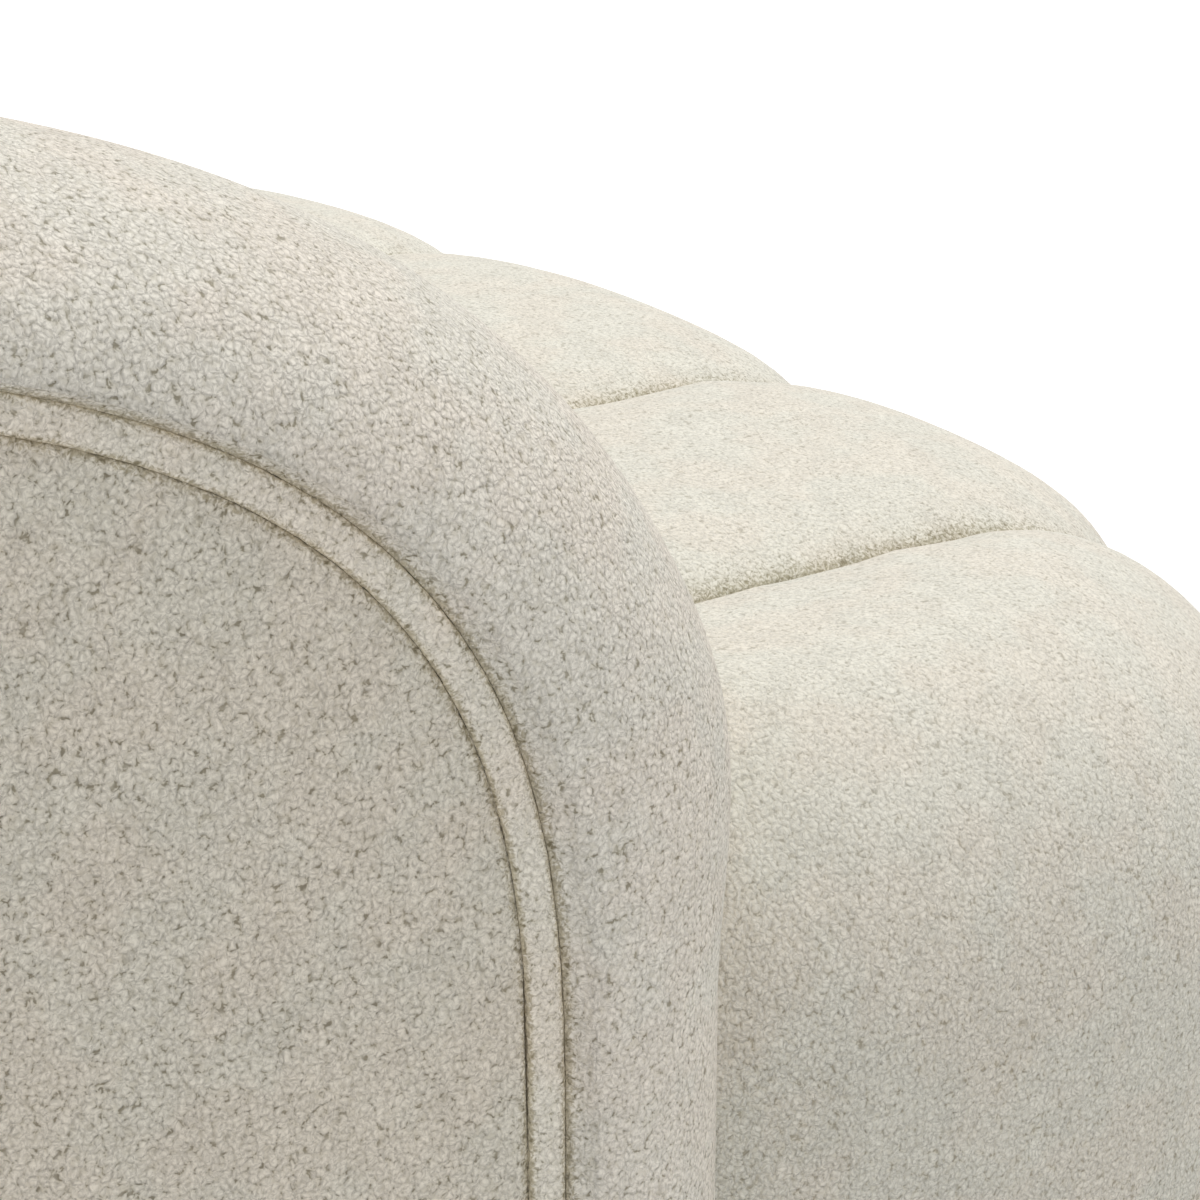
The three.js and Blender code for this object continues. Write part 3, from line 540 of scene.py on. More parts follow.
def facesOutward(mesh):
    points = readPoints(mesh)
    mesh.calc_loop_triangles()
    corners = np.empty(len(mesh.loop_triangles) * 3, dtype=np.int64)
    mesh.loop_triangles.foreach_get("vertices", corners)
    a, b, c = (points[corners[i::3]] for i in range(3))
    if np.einsum("ij,ij->i", a, np.cross(b, c)).sum() < 0:
        mesh.flip_normals()


def tubeFaces(rings, count):
    # Rings joined into a tube with closed ends
    faces, last = [], (rings - 1) * count
    for i in range(0, last, count):
        for j in range(count):
            a, b = i + j, i + (j + 1) % count
            faces.append((a, b, b + count, a + count))
    return faces + [tuple(reversed(range(count))), tuple(range(last, last + count))]


def slabFaces(rows, columns):
    # Two grids, one behind the other, joined along their edges
    back = rows * columns
    faces = []
    for i in range(rows - 1):
        for j in range(columns - 1):
            a = i * columns + j
            faces.append((a, a + 1, a + columns + 1, a + columns))
            faces.append((back + a, back + a + columns, back + a + columns + 1, back + a + 1))
    edges = []
    for a in range(0, back - columns, columns):
        b = a + columns - 1
        edges += [(a, a + columns), (b + columns, b)]
    for a in range(columns - 1):
        b = back - columns + a
        edges += [(a + 1, a), (b, b + 1)]
    return faces + [(a, b, back + b, back + a) for a, b in edges]


def dress(piece, node):
    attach(piece, "root")
    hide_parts(node)


def dressPair(left, node):
    # A piece of the left half, and its mirrored twin
    mesh = left.data.copy()
    mesh.name = left.name.replace("Left", "Right")
    points = readPoints(mesh)
    points[:, 0] *= -1
    mesh.vertices.foreach_set("co", points.ravel())
    mesh.flip_normals()
    mesh.update()
    right = addObject(mesh.name, mesh)
    dress(left, node + "_left")
    dress(right, node + "_right")


# The thick roll over the wrap's edge
rollValues = {
    "spacing": 6,  # between rings
    "around": 40,  # points of the curved side
    "tuckSteps": 4, "backSteps": 90,
    "flatShare": 0.15,  # of the reach, before the round side begins
    "turn": 3.8, "lean": 0.3,  # how far the cloth turns in beside the piping, and its slope
    "paintedShadeWidth": 3.2,
    "endDraw": (0.955, 0.985, 1),  # the last rings before a seam are drawn in
    "drawFrom": 15,  # fully this far from the piping, less beside it
    # painted groove shade laid over the last rings before a seam
    "endPaintedShade": (0.8, 0.3, 0),
    "blend": 1.2,  # how the reach passes from the front to the top
    "footFrom": 0.44, "footBlend": 0.37,  # and to the foot, by height in shares of the arch's rise
    "unevenness": 1.1, "unevenSize": 95, "seed": 2.3,
    "fill": 0.85,
}


def rollReach(edge):
    values = rollValues
    low = smoothStep((archFoot + archRise * values["footFrom"] - edge[1]) / (archRise * values["footBlend"]))
    side = lerp(sofa["rollFront"], sofa["rollFoot"], low)
    return lerp(side, sofa["rollTop"], edge[3] ** values["blend"])


def rollRing(edge, draw):
    s, z, front, up = edge
    values, reach, half = rollValues, rollReach(edge), sofa["wrapThickness"] / 2
    bulge, flat, turn = sofa["rollBulge"], values["flatShare"], values["turn"]
    seat = sofa["pipingRadius"] + sofa["pipingGap"]
    tuck = reach * flat - seat
    section = [(reach * (flat + (1 - flat) * math.cos(a)), -half + (half + bulge) * math.sin(a))
               for a in steps(quarter, -quarter, values["around"])]
    inner = [(seat + tuck * math.cos(a),
              -2 * half - bulge + turn * (1 - math.cos(a)) + turn * values["lean"] * math.sin(a))
             for a in steps(0, quarter, values["tuckSteps"])[1:]]
    outer = [(beyond, -2 * half - out) for beyond, out in reversed(inner)]
    ring, grooveShades = [], []
    for beyond, out in section + inner + outer:
        outDraw = lerp(1, draw, min((beyond - seat) / values["drawFrom"], 1))
        beyond, out = seat + (beyond - seat) * draw, -half + (out + half) * outDraw
        # painted shade beside the piping
        grooveShades.append(grooveShade(beyond - seat, values["paintedShadeWidth"]))
        push = unevenAt(values, wrapPoint(s - front * beyond, z + up * beyond, out), values["seed"])
        push *= min(beyond / reach * 2, 1)
        ring.append(wrapPoint(s - front * (beyond + push), z + up * (beyond + push), out))
    return ring, grooveShades


def rollPiece(name, line):
    points, grooveShades = [], []
    for i, edge in enumerate(line):
        toEnd = min(i, len(line) - 1 - i, len(rollValues["endDraw"]) - 1)
        ring, ringGrooveShades = rollRing(edge, rollValues["endDraw"][toEnd])
        points += ring
        grooveShades += [max(value, rollValues["endPaintedShade"][toEnd]) for value in ringGrooveShades]
    return makeMesh(name, points, tubeFaces(len(line), len(ring)), fabrics["roll"], grooveShades)


def buildRolls():
    left = rollPiece("armRollLeft", edgeLine(panelSeam - seamGap, rollValues["spacing"]))
    dressPair(left, "arm_roll")
    places = mirroredPlaces(steps(panelSeam + seamGap, middle, rollValues["backSteps"]))
    dress(rollPiece("backRoll", [edgeAt(s) for s in places]), "back_roll")


# Piping: a cord in the same cloth along the edge line
pipingValues = {
    "spacing": 2.6, "backSteps": 60,
    # half of the upper section: share of the half width, height over the panels
    "section": ((1, -0.5), (0.99, 0.2), (0.95, 0.75), (0.85, 1.25), (0.65, 1.65), (0.36, 1.92), (0, 2.0)),
    "middle": -3.4,  # height of the section's middle
    "clearance": 0.02,  # less than the piping's full radius
    "unevenness": 0.08, "unevenSize": 8, "unevenShift": 7, "seed": 5.0,  # shifts make its sides differ
    "bite": 0.2,  # how far the groove's edge wanders into the cord
    "biteSize": 7, "biteShift": 40, "biteSeed": 8.0,
    "biteGain": 2, "biteFrom": 0.5,
    "paintedShadeWidth": 2.2,
}


def buildPiping():
    values, radius = pipingValues, sofa["pipingRadius"]
    half = edgeLine(backStart, values["spacing"])
    half += [edgeAt(s) for s in steps(backStart, middle, values["backSteps"])[1:]]
    line = half + [(2 * middle - s, z, -front, up) for s, z, front, up in reversed(half[:-1])]
    centre = values["middle"]
    upper = [(share, out - centre) for share, out in values["section"]]
    upper += [(-share, high) for share, high in reversed(upper[:-1])]
    section = upper + [(share, -high) for share, high in reversed(upper)]
    points, grooveShades = [], []
    for s, z, front, up in line:
        x, y, height = wrapPoint(s, z, 0)
        for share, high in section:
            uneven = 1 + unevenAt(values, (x, y, height + values["unevenShift"] * share), values["seed"])
            side = math.copysign(values["biteShift"], share)
            wander = softness(x + side, y, height, values["biteSize"], values["biteSeed"])
            bite = values["bite"] * min(max(values["biteGain"] * wander - values["biteFrom"], 0), 1)
            beyond = (radius - values["clearance"] - bite) * share
            points.append(wrapPoint(s - front * beyond, z + up * beyond, centre + high * uneven))
            # painted shade down the cord's sides, where it meets the cloth beside it
            grooveShades.append(grooveShade(radius - abs(beyond), values["paintedShadeWidth"]))
    cord = makeMesh("edgePiping", points, tubeFaces(len(line), len(section)), fabrics["piping"], grooveShades)
    dress(cord, "piping")


# Sheets that follow the wrap: the outer panels and the inner pads
def offsetArch(margin, count):
    points = [archPoint(turn) for turn in steps(0, quarter, count)]
    return [(s + front * margin, z - up * margin) for s, z, front, up in points]


def edgeHeight(s, margin, line):
    s = min(s, 2 * middle - s)
    if s >= line[-1][0]:
        return sofa["trimTop"] - margin
    return float(np.interp(s, [p[0] for p in line], [p[1] for p in line]))


def archColumns(margin, end, spacing):
    # Places across an arm's sheet: close together where the arch climbs
    places, lastZ = [], 0
    for s, z in offsetArch(margin, pathValues["columnSamples"]):
        far = not places or (s - places[-1] >= pathValues["leastColumn"]
                             and math.hypot(s - places[-1], z - lastZ) >= spacing)
        if s < cornerStart and far:
            places.append(s)
            lastZ = z
    return places + steps(cornerStart, end, round((end - cornerStart) / spacing))


def sheetPiece(name, cloth, values, places, rows, outAt):
    # Its face stands out by what outAt says, and its back lies at an even depth
    margin, foot = values["margin"], values["foot"]
    line = offsetArch(margin, pathValues["sheetSamples"])
    front, back, grooveShades = [], [], []
    for s in places:
        height = edgeHeight(s, margin, line)
        for share in steps(0, 1, rows):
            z = foot + (height - foot) * (1 - (1 - share) ** pathValues["rowPower"])
            # outAt also gives the amount of painted groove shade at each point
            out, groove = outAt(s, z)
            front.append(wrapPoint(s, z, out))
            back.append(wrapPoint(s, z, values["inside"]))
            grooveShades.append(groove)
    faces = slabFaces(len(places), rows + 1)
    return makeMesh(name, front + back, faces, fabrics[cloth], grooveShades + [1] * len(back))


# Outer panels: flat padded cloth that turns in at the piping
panelValues = {
    "foot": sofa["clothFoot"],
    "inside": -16,  # its back, from the wrap's face
    "margin": sofa["pipingRadius"] + sofa["pipingGap"],  # from the edge line to the panel
    "armRows": 64, "backRows": 48, "armSpacing": 8, "backSpacing": 14,
    "crown": 4, "crownReach": 90, "crownPower": 0.6,
    "edgeRound": 5, "edgeDip": 0.6,
    "unevenness": 0.9, "unevenSize": 120, "unevenReach": 60, "seed": 7.7,
    "paintedShadeWidth": 3.2, "fill": 0.5,
}


def outerOut(places):
    # How far the panel's face stands out: crowned, and turned in all round
    values, first, last = panelValues, places[0], places[-1]
    margin = values["margin"]
    border = offsetArch(margin, pathValues["borderSamples"])
    border = np.array(border + [(s, sofa["trimTop"] - margin) for s in places
                                if archRun < s < 2 * middle - archRun])

    def outAt(s, z):
        fromFront = min(s, 2 * middle - s)
        nearest = float(np.sqrt(((border - (fromFront, z)) ** 2).sum(axis=1)).min())
        if z < archFoot and first <= margin + 1:
            nearest = min(nearest, fromFront - margin)
        nearest = min(nearest, s - first, last - s, z - values["foot"])
        turnIn = values["edgeDip"] * (1 - min(nearest / values["edgeRound"], 1)) ** 2
        crown = values["crown"] * min(nearest / values["crownReach"], 1) ** values["crownPower"]
        uneven = unevenAt(values, wrapPoint(s, z, 0), values["seed"])
        uneven *= min(nearest / values["unevenReach"], 1)
        # painted shade along the panel's edge, beside the piping
        return crown - turnIn + uneven, grooveShade(nearest, values["paintedShadeWidth"])
    return outAt


def buildPanels():
    values = panelValues
    places = archColumns(values["margin"], panelSeam - seamGap, values["armSpacing"])
    left = sheetPiece("armPanelLeft", "panel", values, places, values["armRows"], outerOut(places))
    dressPair(left, "arm_panel")
    count = round((middle - panelSeam) / values["backSpacing"])
    places = mirroredPlaces(steps(panelSeam + seamGap, middle, count))
    back = sheetPiece("backPanel", "panel", values, places, values["backRows"], outerOut(places))
    dress(back, "back_panel")


# Inner pads: one round each arm's inside and on to the back, and one across the back's middle
innerValues = {
    "foot": sofa["innerFoot"], "margin": -sofa["pipingRadius"],
    "inside": 34 - sofa["wrapThickness"],  # a pad is 34 thick
    "rows": 46, "armSpacing": 12, "cornerSteps": 8, "backSteps": 36,
    "crown": 10, "groove": 18, "power": 2.4,  # a seam's depth, and how square the crest is
    "sideReach": 150, "topReach": 120,  # from a pad's edge to its full height
    "unevenness": 1.4, "unevenSize": 110, "armSeed": 1.3, "backSeed": 2.9,
    "paintedShadeWidth": 9, "fill": 0.7,
}


def innerOut(places, seed):
    values, first, last = innerValues, places[0], places[-1]
    top = sofa["trimTop"] + sofa["pipingRadius"]
    base = -sofa["wrapThickness"] + values["groove"] - values["crown"]

    def outAt(s, z):
        fromSeam = min(s - first, last - s)
        along = fromSeam / min((last - first) / 2, values["sideReach"])
        upward = min(1.0, (top - z) / values["topReach"])
        shape = swell(max(along, 0), values["power"]) * swell(max(upward, 0), values["power"])
        uneven = unevenAt(values, wrapPoint(s, z, 0), seed) * shape
        # painted shade beside the pad's seams
        return base - values["groove"] * shape + uneven, grooveShade(fromSeam, values["paintedShadeWidth"])
    return outAt


def buildInnerPads():
    values, corner = innerValues, middle - middleSeam
    places = archColumns(values["margin"], backStart, values["armSpacing"])
    places += steps(backStart, corner - seamGap, values["cornerSteps"])[1:]
    left = sheetPiece("innerArmPadLeft", "inner", values, places, values["rows"],
                      innerOut(places, values["armSeed"]))
    dressPair(left, "inner_arm_pad")
    places = steps(corner + seamGap, middle + middleSeam - seamGap, values["backSteps"])
    pad = sheetPiece("innerBackPad", "inner", values, places, values["rows"],
                     innerOut(places, values["backSeed"]))
    dress(pad, "inner_back_pad")


buildRolls()
buildPiping()
print("rolls and piping made")
buildPanels()
buildInnerPads()
print("panels and inner pads made")


# The seat: channels side by side, and a rounded corner channel at each end
seatValues = {
    "top": 419, "cornerDrop": 4,
    "channelDepth": 30, "puffPower": 2.8,  # a seam's depth, and how square the crest is
    "padThickness": 50,
    "backRadius": 35, "backGap": 0.6,
    "edgeReach": 145, "edgeDrop": 130,  # the rolled front edge
    "shortRayShare": 0.7,  # the most of a short ray that this edge takes
    "edgePower": {"middle": 2.3, "side": 2.12, "corner": 2.0},  # its fullness; 2 is a plain ellipse
    "faceTuck": 10,
    "cornerRun": 425, "cornerDepth": 300, "cornerBack": 330, "cornerPower": 2.6,
    "cornerFrontShare": 0.68, "cornerBackTurn": 0.35,  # rays at the front, and turn round the side
    "cornerCrest": 1.15,  # the crest's distance from the seam, in half widths
    # where the padding lies lower or fuller: place along the front edge, spread, depth
    "settled": {
        "middle": ((0.03, 0.18, 4.0), (0.42, 0.15, -2.0)),
        "side": ((0.15, 0.22, 4.6), (0.53, 0.13, -2.4)),
        "corner": (),
    },
    "flatTurns": 2.3, "backTurns": -3,  # the flat's length and the back's place on that scale
    "across": 34, "cornerRays": 76,  # columns of a channel, and of a corner
    "backSteps": 6, "edgeSteps": 24, "faceSteps": 14, "flatSteps": {"middle": 34, "side": 34, "corner": 16},
    "pucker": 1.5, "puckerPitch": 27,  # small gathers that run out of a seam
    "puckerPlace": 0.16, "puckerSpread": 0.13, "puckerStretch": (0.25, 0.3),
    "unevenness": 1.6, "unevenSize": 130, "unevenSeed": 4.2, "crestPower": 1.6,
    "seeds": {"middle": 1.7, "side": 4.0, "corner": 9.1},
    "paintedShadeWidth": 9, "fill": 0.75,
}
cornerRun, cornerDepth = seatValues["cornerRun"], seatValues["cornerDepth"]
cornerPower = seatValues["cornerPower"]
straightHalf = sofa["armFrontX"] - cornerRun
roundCentreY = seatFront + cornerDepth
seatBack = backFace - sofa["wrapThickness"] - innerValues["crown"] - seatValues["backGap"]


def seatEdgeY(x):
    share = min(max(0, abs(x) - straightHalf) / cornerRun, 1)
    return roundCentreY - cornerDepth * (1 - share ** cornerPower) ** (1 / cornerPower)


def seatHeightAt(x):
    far = (abs(x) - middleSeam) / (cornerSeam - middleSeam)
    return seatValues["top"] - seatValues["cornerDrop"] * smoothStep(far)


def seatStations(kind):
    # Along a channel from its back to its foot: each station names a stretch and a place in it
    values, begin = seatValues, 0
    stations = []
    if kind != "corner":
        begin = values["backRadius"]
        stations = [("back", turn) for turn in steps(0, quarter, values["backSteps"])[:-1]]
    stations += [("flat", share) for share in steps(0, 1, values["flatSteps"][kind])[:-1]]
    stations += [("edge", turn) for turn in steps(0, quarter, values["edgeSteps"])]
    stations += [("face", share) for share in steps(0, 1, values["faceSteps"])[1:]]
    power, drop = values["edgePower"][kind], values["edgeDrop"]

    def placeOf(station, length, top):
        # The way along a ray of this length, and the height
        stretch, value = station
        reach = min(values["edgeReach"], (length - begin) * values["shortRayShare"])
        if stretch == "back":
            return begin * (1 - math.cos(value)), top - begin * (1 - math.sin(value))
        if stretch == "flat":
            return begin + (length - begin - reach) * value, top
        if stretch == "edge":
            ahead, upward = abs(math.sin(value)) ** (2 / power), abs(math.cos(value)) ** (2 / power)
            return length - reach * (1 - ahead), top - drop * (1 - upward)
        faceTop = top - drop
        return length - values["faceTuck"] * value ** 2, faceTop + (sofa["clothFoot"] - faceTop) * value
    return stations, placeOf


def seatGrid(rays, stations, placeOf):
    grid = np.zeros((len(rays), len(stations), 3))
    for i, (start, end) in enumerate(rays):
        start, end = np.array(start), np.array(end)
        length = float(np.linalg.norm(end - start))
        direction = (end - start) / length
        for j, station in enumerate(stations):
            x, y = start + direction * placeOf(station, length, 0)[0]
            grid[i, j] = (x, y, placeOf(station, length, seatHeightAt(x))[1])
    normals = np.cross(np.gradient(grid, axis=0), np.gradient(grid, axis=1))
    if normals[len(rays) // 2, len(stations) // 3, 2] < 0:
        normals = -normals
    normals /= np.maximum(np.linalg.norm(normals, axis=2, keepdims=True), 1e-9)
    # beside a seam the padding isn't pushed sideways, so that both sides meet there
    distance = np.abs(np.abs(grid[:, :, 0])[:, :, None] - (middleSeam, cornerSeam)).min(axis=2)
    normals[:, :, 0] *= np.minimum(1, distance / ((cornerSeam - middleSeam) / 2))
    normals /= np.linalg.norm(normals, axis=2, keepdims=True)
    return grid, normals


def settledDepth(kind, station):
    # Places are counted in turns of the front edge, from its beginning
    stretch, value = station
    place = {"back": seatValues["backTurns"], "flat": seatValues["flatTurns"] * (value - 1),
             "edge": value / quarter, "face": 1 + value}[stretch]
    return sum(depth * math.exp(-((place - at) / spread) ** 2)
               for at, spread, depth in seatValues["settled"][kind])


def channelPad(name, rays, shareAt, kind):
    values, seed = seatValues, seatValues["seeds"][kind]
    stations, placeOf = seatStations(kind)
    grid, normals = seatGrid(rays, stations, placeOf)
    rows, columns = grid.shape[:2]
    top, bottom, grooveShades = [], [], []
    for i in range(rows):
        for j in range(columns):
            point, normal = grid[i, j], normals[i, j]
            x, y, z = point
            share = max(0.0, shareAt(point))
            crest = swell(share, values["crestPower"])
            depth = values["channelDepth"] * (1 - swell(share, values["puffPower"]))
            # gathers beside the seam, on both its sides, and slow unevenness over the crest
            path = y - z + x if kind == "corner" and y >= roundCentreY else y - z
            sideways, upward = values["puckerStretch"]
            gather = softness(path, x * sideways, z * upward, values["puckerPitch"], seed) * values["pucker"]
            gather *= math.exp(-((share - values["puckerPlace"]) / values["puckerSpread"]) ** 2)
            slow = unevenAt(values, point, seed + values["unevenSeed"]) * crest
            settled = settledDepth(kind, stations[j]) * crest
            top.append(tuple(point - normal * (depth + gather + slow + settled)))
            bottom.append(tuple(point - normal * values["padThickness"]))
            # painted shade beside the seat's seams
            fromSeam = min(abs(abs(x) - middleSeam), abs(abs(x) - cornerSeam))
            grooveShades.append(grooveShade(fromSeam, values["paintedShadeWidth"]))
    grooveShades += [1] * len(bottom)
    return makeMesh(name, top + bottom, slabFaces(rows, columns), fabrics["seat"], grooveShades)


def straightPad(name, near, far, kind):
    def shareAt(point):
        return min(point[0] - near, far - point[0]) / ((far - near) / 2)
    turns = steps(0, math.pi, seatValues["across"])  # the columns draw together at both seams
    columns = [near + (far - near) * (1 - math.cos(turn)) / 2 for turn in turns]
    return channelPad(name, [((x, seatBack), (x, seatEdgeY(x))) for x in columns], shareAt, kind)


def cornerRays():
    # They spread from a hub at the seam, in front of the arm, to the outline
    values = seatValues
    hub = np.array([-cornerSeam - seamGap, armFrontY - sofa["rollFront"] / 2])
    firstAngle = math.asin(((cornerSeam - straightHalf) / cornerRun) ** (cornerPower / 2))
    frontCount = round(values["cornerRays"] * values["cornerFrontShare"])
    outline = [np.array([-straightHalf - cornerRun * math.sin(angle) ** (2 / cornerPower),
                         roundCentreY - cornerDepth * max(math.cos(angle), 0) ** (2 / cornerPower)])
               for angle in steps(firstAngle, quarter, frontCount)]
    outline[0][0] = hub[0]
    for angle in steps(0, quarter * values["cornerBackTurn"], values["cornerRays"] - frontCount)[1:]:
        outline.append(np.array([-straightHalf - cornerRun * math.cos(angle),
                                 roundCentreY + values["cornerBack"] * math.sin(angle)]))
    rays = []
    for end in outline:
        direction = (end - hub) / np.linalg.norm(end - hub)
        rays.append((hub + direction * sofa["pipingRadius"], end))
    return rays


def buildSeat():
    middlePad = straightPad("seatChannelMiddle", -middleSeam + seamGap, middleSeam - seamGap, "middle")
    dress(middlePad, "seat_channel_middle")
    left = straightPad("seatChannelLeft", -cornerSeam + seamGap, -middleSeam - seamGap, "side")
    dressPair(left, "seat_channel")
    crest = (sofa["armFrontX"] - cornerSeam) * seatValues["cornerCrest"] / 2

    def fromSeam(point):
        return abs(abs(point[0]) - cornerSeam) / crest
    dressPair(channelPad("seatCornerLeft", cornerRays(), fromSeam, "corner"), "seat_corner")


buildSeat()
print("seat channels made")


# Foam blocks under the seat, a little inside the solids since their cut edges are eased
foamValues = {"voxel": 11, "easing": 0.5, "easeRounds": 3, "fill": 0.9}
weldDistance, flatAngle = 0.01, 1  # millimetres and degrees, to join up a solid's triangles


def nodeSolid(name):
    # A CAD solid's own points and faces, in metres
    body = bmesh.new()
    body.from_mesh(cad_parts[name].data)
    bmesh.ops.remove_doubles(body, verts=body.verts, dist=weldDistance * mm)
    bmesh.ops.dissolve_limit(body, angle_limit=math.radians(flatAngle), verts=body.verts, edges=body.edges)
    return body


def meshOf(name, body):
    mesh = bpy.data.meshes.new(name)
    body.to_mesh(mesh)
    body.free()
    return mesh


def bakeModifier(piece, kind, **settings):
    modifier = piece.modifiers.new("shape", kind)
    for key, value in settings.items():
        setattr(modifier, key, value)
    depsgraph = bpy.context.evaluated_depsgraph_get()
    mesh = bpy.data.meshes.new_from_object(piece.evaluated_get(depsgraph), depsgraph=depsgraph)
    old = piece.data
    piece.modifiers.clear()
    piece.data = mesh
    bpy.data.meshes.remove(old)
    mesh.name = piece.name


def buildFoam():
    for node, name in (("seat_foam", "seatFoamBlock"), ("corner_foam_left", "cornerFoamLeft"),
                       ("corner_foam_right", "cornerFoamRight")):
        body = nodeSolid(node)
        bmesh.ops.triangulate(body, faces=body.faces)
        piece = addObject(name, meshOf(name, body))
        bakeModifier(piece, "REMESH", mode="VOXEL", voxel_size=foamValues["voxel"] * mm,
                     use_smooth_shade=True)
        bakeModifier(piece, "SMOOTH", factor=foamValues["easing"], iterations=foamValues["easeRounds"])
        piece.data.materials.append(foam)
        dress(piece, node)


buildFoam()
print("foam made")


# Webbing straps, drawn tight over the frame's cross rails
strapValues = {
    "count": 3, "thickness": 2.2, "columns": 110, "rows": 10,
    "above": 0.15, "rise": 0.3, "bays": 2,  # over the solid's underside, and more over each rail
    "endGap": 1,
}


def buildStraps():
    values = strapValues
    for i in range(values["count"]):
        node = f"webbing_strap_{i + 1}"
        low, high = (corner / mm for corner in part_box(node))
        top, bottom = [], []
        for x in steps(low.x + values["endGap"], high.x - values["endGap"], values["columns"]):
            bay = abs(math.sin(math.pi * (x - low.x) / (high.x - low.x) * values["bays"]))
            z = low.z + values["above"] + values["rise"] * (1 - bay)
            for y in steps(low.y, high.y, values["rows"]):
                top.append((x, y, z + values["thickness"]))
                bottom.append((x, y, z))
        faces = slabFaces(values["columns"] + 1, values["rows"] + 1)
        strap = makeMesh(f"webbingStrap{i + 1}", top + bottom, faces, weaves["webbing"])
        dress(strap, node)


buildStraps()


# Lining under the frame, stretched flat and tacked along its edge
liningValues = {"thickness": 0.9, "above": 0.2}  # above the solid's underside


def buildLining():
    body = nodeSolid("dust_cover")
    low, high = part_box("dust_cover")
    under = [face for face in body.faces if face.normal.z < -0.5]
    widest = max(under, key=lambda face: face.calc_area())
    height = low.z + liningValues["above"] * mm
    outline = [(corner.co.x, corner.co.y, height) for corner in widest.verts]
    body.free()
    sheet = bmesh.new()
    face = sheet.faces.new([sheet.verts.new(corner) for corner in outline])
    area = face.calc_area()
    bmesh.ops.triangulate(sheet, faces=[face])
    piece = addObject("liningCloth", meshOf("liningCloth", sheet))
    bakeModifier(piece, "SOLIDIFY", thickness=liningValues["thickness"] * mm,
                 offset=1 if piece.data.polygons[0].normal.z > 0 else -1)
    facesOutward(piece.data)
    piece.data.materials.append(weaves["lining"])
    dress(piece, "dust_cover")


buildLining()
print("webbing and lining made")


# Feet: turned, tapering down, with a slim ring at the top and a rounded ground edge
footValues = {
    "around": 56, "topRadius": 27, "bottomRadius": 20, "height": 60,
    "rim": 2.2, "rimSteps": 5,
    "taper": (6, 50, 12), "taperPower": 1.05, "taperIn": 0.15,  # first height, last height, steps
    # heights and radii above the taper: a groove, then the ring
    "ring": ((51.2, 25.1), (51.8, 24.6), (52.6, 25.4), (53.4, 26.1), (58.6, 26.9), (59.4, 26.6), (60, 25.8)),
    "sharpAngle": 38,
}


def footProfile():
    values, rim, bottom = footValues, footValues["rim"], footValues["bottomRadius"]
    profile = [(0.0, bottom - rim)]
    profile += [(rim * (1 - math.cos(a)), bottom - rim * (1 - math.sin(a)))
                for a in steps(0, quarter, values["rimSteps"])[1:]]
    for z in steps(*values["taper"]):
        share = (z / values["height"]) ** values["taperPower"]
        profile.append((z, bottom + (values["topRadius"] - bottom) * share - values["taperIn"]))
    return profile + list(values["ring"])


def buildFeet():
    profile, around = footProfile(), footValues["around"]
    for name in ("front_left", "front_right", "rear_left", "rear_right"):
        low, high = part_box("foot_" + name)
        x0, y0 = (low.x + high.x) / 2 / mm, (low.y + high.y) / 2 / mm
        points = [(x0 + r * math.cos(a), y0 + r * math.sin(a), z) for z, r in profile
                  for a in steps(0, 2 * math.pi, around)[:-1]]
        pieceName = "foot" + "".join(word.capitalize() for word in name.split("_"))
        foot = makeMesh(pieceName, points, tubeFaces(len(profile), around), woods["footWood"])
        foot.data.set_sharp_from_angle(angle=math.radians(footValues["sharpAngle"]))
        dress(foot, "foot_" + name)


buildFeet()


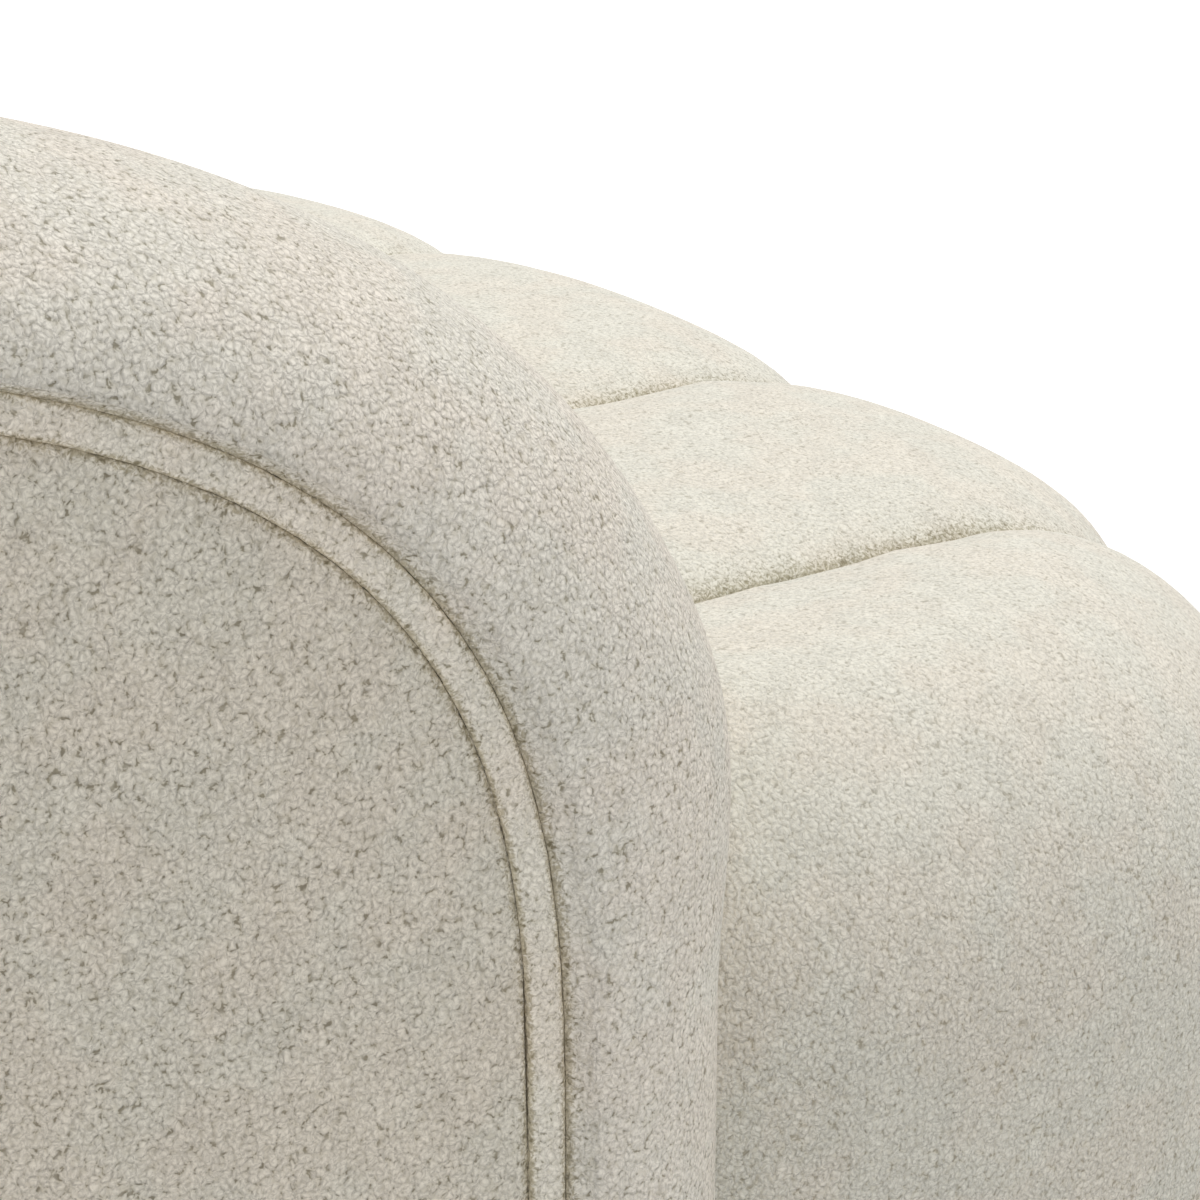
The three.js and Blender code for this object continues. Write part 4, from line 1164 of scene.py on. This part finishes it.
# The frame's rails, posts and boards keep their own shape and get the wood's grain
woodWords = ("board", "rail", "tie", "post")
woodNodes = [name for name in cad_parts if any(word in name for word in woodWords)]
for name in woodNodes:
    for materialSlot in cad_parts[name].material_slots:
        materialSlot.material = woods["frameWood"]
print("feet and frame finished:", len(woodNodes), "wood pieces")


# Floor, room and lamp
roomValues = {
    "floorSize": 14, "floorColor": (0.86, 0.86, 0.86, 1), "floorGlow": 0.34,
    "floorRoughness": 0.9, "floorSpecular": 0.1,
    "ambient": 0.68, "lampPower": 66, "lampSize": 4.2, "lampPlace": (0.1, -1.6, 2.95),
}


def buildFloor():
    size = roomValues["floorSize"] / 2
    corners = [(-size, -size, 0), (size, -size, 0), (size, size, 0), (-size, size, 0)]
    mesh = bpy.data.meshes.new("studioFloor")
    mesh.from_pydata(corners, [], [(0, 1, 2, 3)])
    floor = addObject("studioFloor", mesh)
    material, tree, shader = addMaterial(
        "floorPaint", Base_Color=roomValues["floorColor"], Roughness=roomValues["floorRoughness"],
        Specular_IOR_Level=roomValues["floorSpecular"], Emission_Color=(1, 1, 1, 1))
    seen = tree.add("ShaderNodeLightPath").outputs["Is Camera Ray"]
    tree.put(shader.inputs["Emission Strength"], tree.math("MULTIPLY", seen, roomValues["floorGlow"]))
    mesh.materials.append(material)


def buildWorld():
    world = bpy.data.worlds.new("studio")
    scene.world = world
    world.use_nodes = True
    world.node_tree.nodes.clear()
    tree = NodeTree(world.node_tree)
    background = tree.add("ShaderNodeBackground", Color=(1, 1, 1, 1))
    path = tree.add("ShaderNodeLightPath").outputs
    seen = path["Is Camera Ray"]
    for other in ("Is Glossy Ray", "Is Transmission Ray"):
        seen = tree.math("MAXIMUM", seen, path[other])
    tree.put(background.inputs["Strength"], tree.mapRange(seen, 0.0, 1.0, roomValues["ambient"], 1.0))
    tree.add("ShaderNodeOutputWorld", None, background.outputs[0])


def buildLamp():
    data = bpy.data.lights.new("softLamp", "AREA")
    data.shape = "SQUARE"
    data.size = roomValues["lampSize"]
    data.energy = roomValues["lampPower"]
    addObject("softLamp", data).location = roomValues["lampPlace"]


buildFloor()
buildWorld()
buildLamp()
scene.view_settings.view_transform = "Standard"
print("room made")
